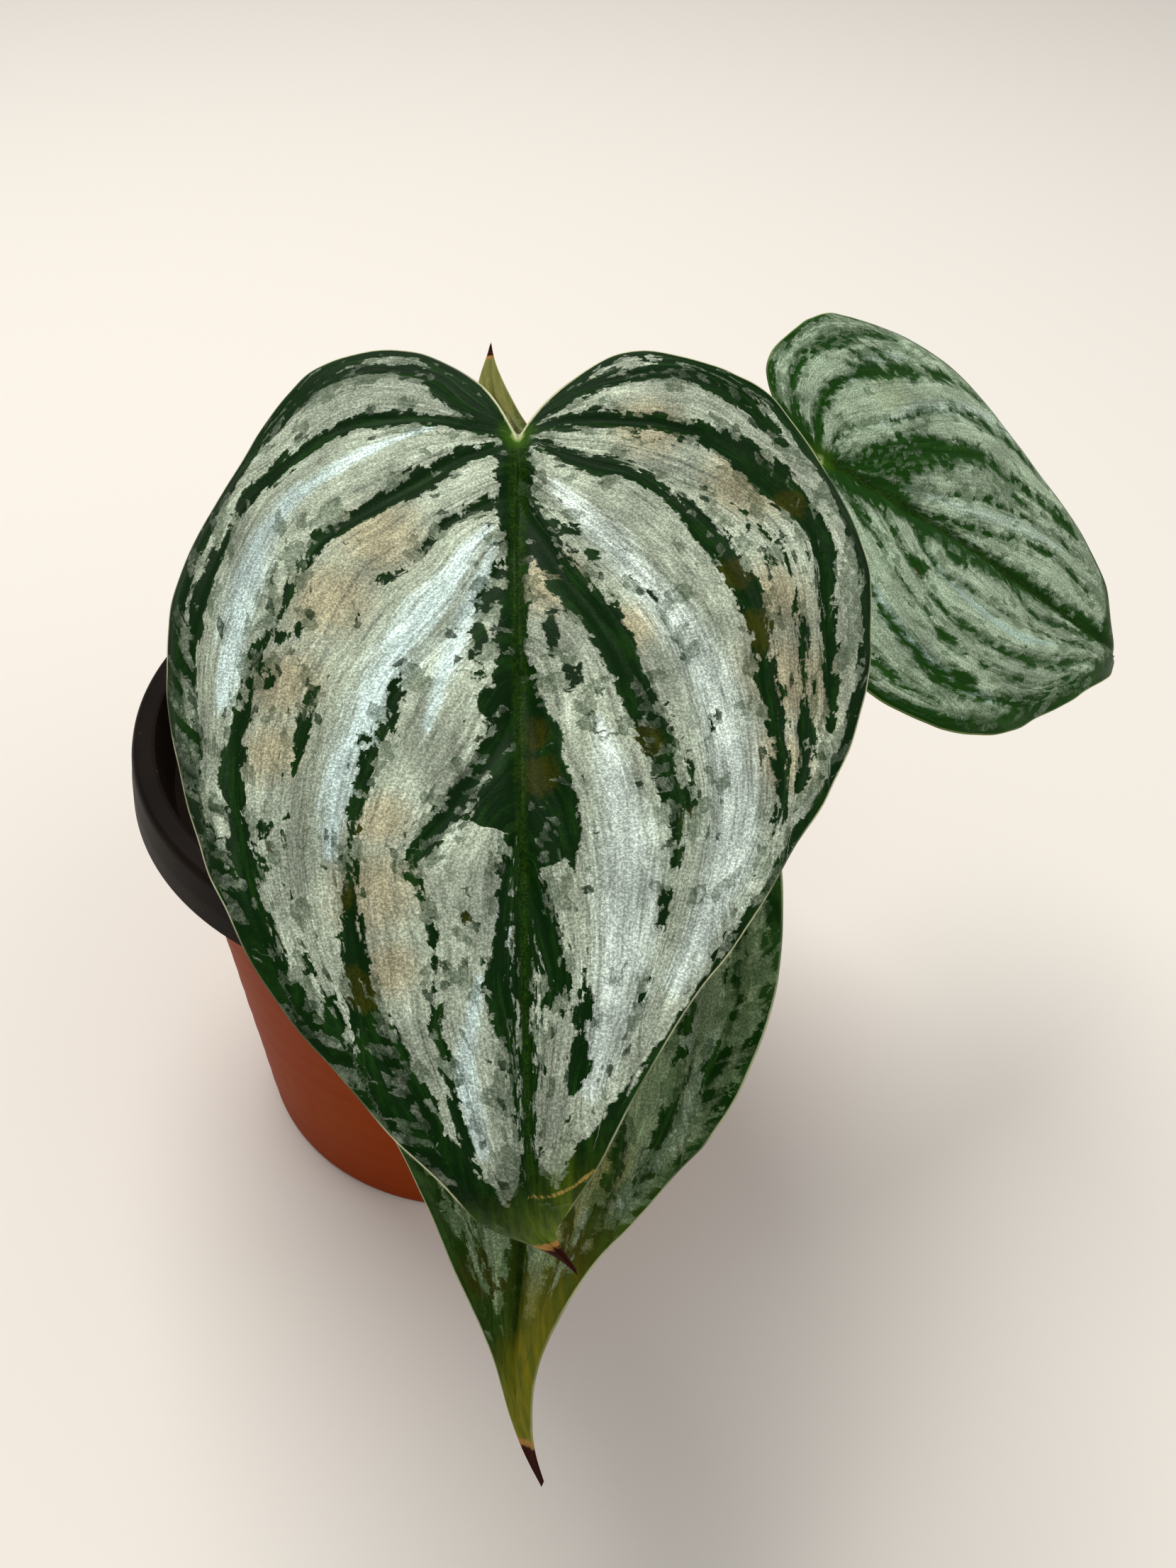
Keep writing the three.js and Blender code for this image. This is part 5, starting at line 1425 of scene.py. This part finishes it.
def makeMixSkin():
    # damp crumbs: each has a random shade, mottled with noise, and the damp takes off some roughness
    g, given = newGroup("mixSkin", ["Light", "Dark"], ["Scale", "Damp"], ["Roughness", "Height"])
    place = objectPlace(g)
    lump = cellShade(place, given["Scale"] * 0.5)
    fine = noise(place, given["Scale"], 5, 0.72)
    grainy = noise(place, given["Scale"] * 4, 3, 0.7)
    shade = lump * 0.4 + fine * 0.75 + push(attribute(g, "shade"), 0.9)
    placeNode(g, "NodeGroupOutput", {
        "Color": mixColour(ease(shade, 0.25, 0.95), given["Dark"], given["Light"]),
        "Roughness": grainy * 0.2 + 0.85 - given["Damp"] * fine,
        "Height": grainy * 0.35 + fine,
    })
    return g


mixSkin = makeMixSkin()
mixBump = {"strength": 0.8, "distance": 0.0008}
mixLooks = {
    "peat": {"Light": (0.075, 0.042, 0.024, 1), "Dark": (0.012, 0.007, 0.004, 1),
             "Scale": 700, "Damp": 0.25},
    "bark": {"Light": (0.22, 0.105, 0.045, 1), "Dark": (0.035, 0.016, 0.008, 1),
             "Scale": 900, "Damp": 0.15},
    "grit": {"Light": (0.72, 0.69, 0.62, 1), "Dark": (0.42, 0.38, 0.32, 1),
             "Scale": 1500, "Damp": 0.05},
}
specular = {"peat": 0.35, "bark": 0.35, "grit": 0.3}
peat, bark, grit = (
    finishedMaterial(name, mixSkin, values, mixBump, {"Specular IOR Level": specular[name]})
    for name, values in mixLooks.items()
)


def makeMix(m):
    # a disc of (ring, angle) points lifted to mixHeight, with its side and bottom following the pot
    floor, rise, inner = pot["wall"] + 0.3, pot["drainRise"], pot["drainInner"]
    reach = np.linspace(0, 1, m["rings"] + 1)[1:, None] ** 0.8 * m["radius"]
    x, y = np.moveaxis(reach[..., None] * circle(turns(m["facets"])), -1, 0)
    top = np.stack([x, y, mixHeight(x, y)], -1)
    foot, outer = pot["footRadius"] - pot["wall"], pot["drainOuter"]
    side = [[foot - 0.6, rise + floor + 1], [outer + 0.7, rise + floor], [inner - 0.7, rise + floor],
            [inner - 1.6, floor]]
    rings = np.vstack([top, turnedPoints(np.array(side), m["facets"])])
    rows, columns = rings.shape[:2]
    middle = mixHeight(np.zeros(1), np.zeros(1))[0]
    points = np.vstack([rings.reshape(-1, 3), [0, 0, middle], [0, 0, floor]])
    faces = closedFaces(rows, columns, False)
    shade = {"shade": np.full(len(points), 0.5)}
    makePiece("soil_mix", points, faces, [peat], "soil", shade)


def turnMatrices(angle, first, second):
    # for each angle, the turn that takes the first axis towards the second
    matrices = np.tile(np.eye(3), (len(angle), 1, 1))
    matrices[:, first, first] = matrices[:, second, second] = np.cos(angle)
    matrices[:, second, first] = np.sin(angle)
    matrices[:, first, second] = -np.sin(angle)
    return matrices


def unitBall(columns, rows):
    # rings of (sin tilt cos turn, sin tilt sin turn, cos tilt) between two poles
    tilt = np.linspace(0, np.pi, rows + 2)[1:-1]
    rings = turnedPoints(np.stack([np.sin(tilt), np.cos(tilt)], 1), columns)
    return np.vstack([rings.reshape(-1, 3), [0, 0, 1], [0, 0, -1]]), closedFaces(rows, columns, False)


def scatterLumps(lump, material, seed):
    # copies of one ball, each squeezed, dented by its own random numbers, turned and set into the mix
    rng = np.random.default_rng(seed)
    count = lump["count"]
    ball, faces = unitBall(8, 4)
    boxed = np.sign(ball) * np.abs(ball) ** lump["roundness"]
    reach = np.sqrt(rng.random(count)) * (mix["radius"] - mix["lumpEdge"])
    x, y = (reach[:, None] * circle(rng.random(count) * 2 * np.pi)).T
    clear = np.hypot(x - mix["stemPlace"][0], y - mix["stemPlace"][1]) > mix["stemClear"]
    x, y, count = x[clear], y[clear], int(clear.sum())
    size = rng.uniform(*lump["size"], count) / 2
    narrow, flat = rng.uniform(*mix["lumpNarrow"], count), rng.uniform(*lump["flatness"], count)
    squeeze = np.stack([np.ones(count), narrow, flat], 1) * size[:, None]
    dents = 1 + mix["lumpDents"] * (rng.random((count, len(ball), 3)) - 0.5)
    spin, lean = rng.random(count) * 2 * np.pi, rng.normal(0, mix["lumpLean"], (count, 2))
    turn = turnMatrices(spin, 0, 1) @ turnMatrices(lean[:, 0], 1, 2)
    shapes = np.einsum("nij,nkj->nki", turn, boxed[None] * dents * squeeze[:, None])
    height = mixHeight(x, y) + squeeze[:, 2] * lump["sunk"]
    points = shapes + np.stack([x, y, height], 1)[:, None]
    step = (np.arange(count) * len(ball))[:, None, None]
    allFaces = [(each[None] + step).reshape(-1, each.shape[1]) for each in faces]
    shade = {"shade": np.repeat(rng.random(count), len(ball))}
    makePiece(lump["name"], points.reshape(-1, 3), allFaces, [material], None, shade)


def scatterFibres(m):
    # thin bent rods lying in the mix: a line plus a cosine bend, with the mix's height under it
    rng = np.random.default_rng(m["seed"] + 5)
    steps, sides = m["fibreSteps"], m["fibreSides"]
    t = np.linspace(-0.5, 0.5, steps)
    ends = np.stack([np.arange(sides)[::-1], np.arange(sides) + (steps - 1) * sides])
    points, quads, caps, shades = [], [], [], []
    for _ in range(m["fibreCount"]):
        reach, turn = math.sqrt(rng.random()) * m["fibreReach"], rng.random() * 2 * math.pi
        way, length = rng.random() * math.pi, rng.uniform(*m["fibreLength"])
        bend = rng.uniform(*m["fibreBend"]) * np.cos(np.pi * t)
        x = reach * math.cos(turn) + length * t * math.cos(way) - bend * math.sin(way)
        y = reach * math.sin(turn) + length * t * math.sin(way) + bend * math.cos(way)
        fromStem = np.hypot(x - m["stemPlace"][0], y - m["stemPlace"][1]).min()
        if np.hypot(x, y).max() >= m["radius"] - m["fibreEdge"] or fromStem <= m["fibreClear"]:
            continue
        smooth = np.convolve(np.pad(mixHeight(x, y), 2, "edge"), np.ones(5) / 5, "valid")
        radius = rng.uniform(*m["fibreRadius"]) * (1 - 0.8 * (2 * np.abs(t)) ** 6)
        start = len(points) * steps * sides
        path = np.stack([x, y, smooth + m["fibreRaised"]], 1)
        points.append(rodPoints(path, np.repeat(radius[:, None], sides, 1)).reshape(-1, 3))
        quads.append(gridFaces(steps, sides, True)[:, ::-1] + start)
        caps.append(ends + start)
        shades.append(np.full(steps * sides, rng.random()))
    faces = [np.vstack(quads), np.vstack(caps)]
    shade = {"shade": np.concatenate(shades)}
    makePiece("root_fibres", np.vstack(points), faces, [bark], None, shade)


makeMix(mix)
for number, (lump, material) in enumerate(zip(lumps, (bark, grit))):
    scatterLumps(lump, material, mix["seed"] + number)
scatterFibres(mix)
print("potting mix made")


# Floor and light
stage = {
    "floorSize": 4.0, "floorColour": (0.86, 0.80, 0.72, 1), "floorRoughness": 0.75,
    "skyColour": (0.97, 0.98, 1.0, 1), "skyStrength": 0.42, "aim": (0.01, -0.03, 0.08),
    "lamps": [
        {"name": "windowLight", "place": (-0.22, 0.30, 1.0), "size": 0.6, "power": 7.8,
         "colour": (1.0, 0.99, 0.97)},
        {"name": "fillLight", "place": (0.7, -0.45, 0.8), "size": 0.9, "power": 2.6,
         "colour": (0.97, 0.99, 1.0)},
    ],
}


def makeStage(s):
    # a square floor, an even sky, and lamps turned to the aim
    half = s["floorSize"] / 2
    mesh = bpy.data.meshes.new("floor")
    corners = [(-half, -half, 0), (half, -half, 0), (half, half, 0), (-half, half, 0)]
    mesh.from_pydata(corners, [], [(0, 1, 2, 3)])
    floor = addObject("floor", mesh)
    paint = bpy.data.materials.new("floorPaint")
    paint.use_nodes = True
    principled = paint.node_tree.nodes["Principled BSDF"]
    principled.inputs["Base Color"].default_value = s["floorColour"]
    principled.inputs["Roughness"].default_value = s["floorRoughness"]
    mesh.materials.append(paint)
    world = bpy.data.worlds.new("softSky")
    bpy.context.scene.world = world
    bpy.context.scene.view_settings.view_transform = "Standard"
    world.use_nodes = True
    sky = world.node_tree.nodes["Background"]
    sky.inputs["Color"].default_value = s["skyColour"]
    sky.inputs["Strength"].default_value = s["skyStrength"]
    for lamp in s["lamps"]:
        data = bpy.data.lights.new(lamp["name"], "AREA")
        data.size, data.energy, data.color = lamp["size"], lamp["power"], lamp["colour"]
        light = addObject(lamp["name"], data)
        light.location = lamp["place"]
        light.rotation_euler = (Vector(s["aim"]) - light.location).to_track_quat("-Z", "Y").to_euler()


makeStage(stage)
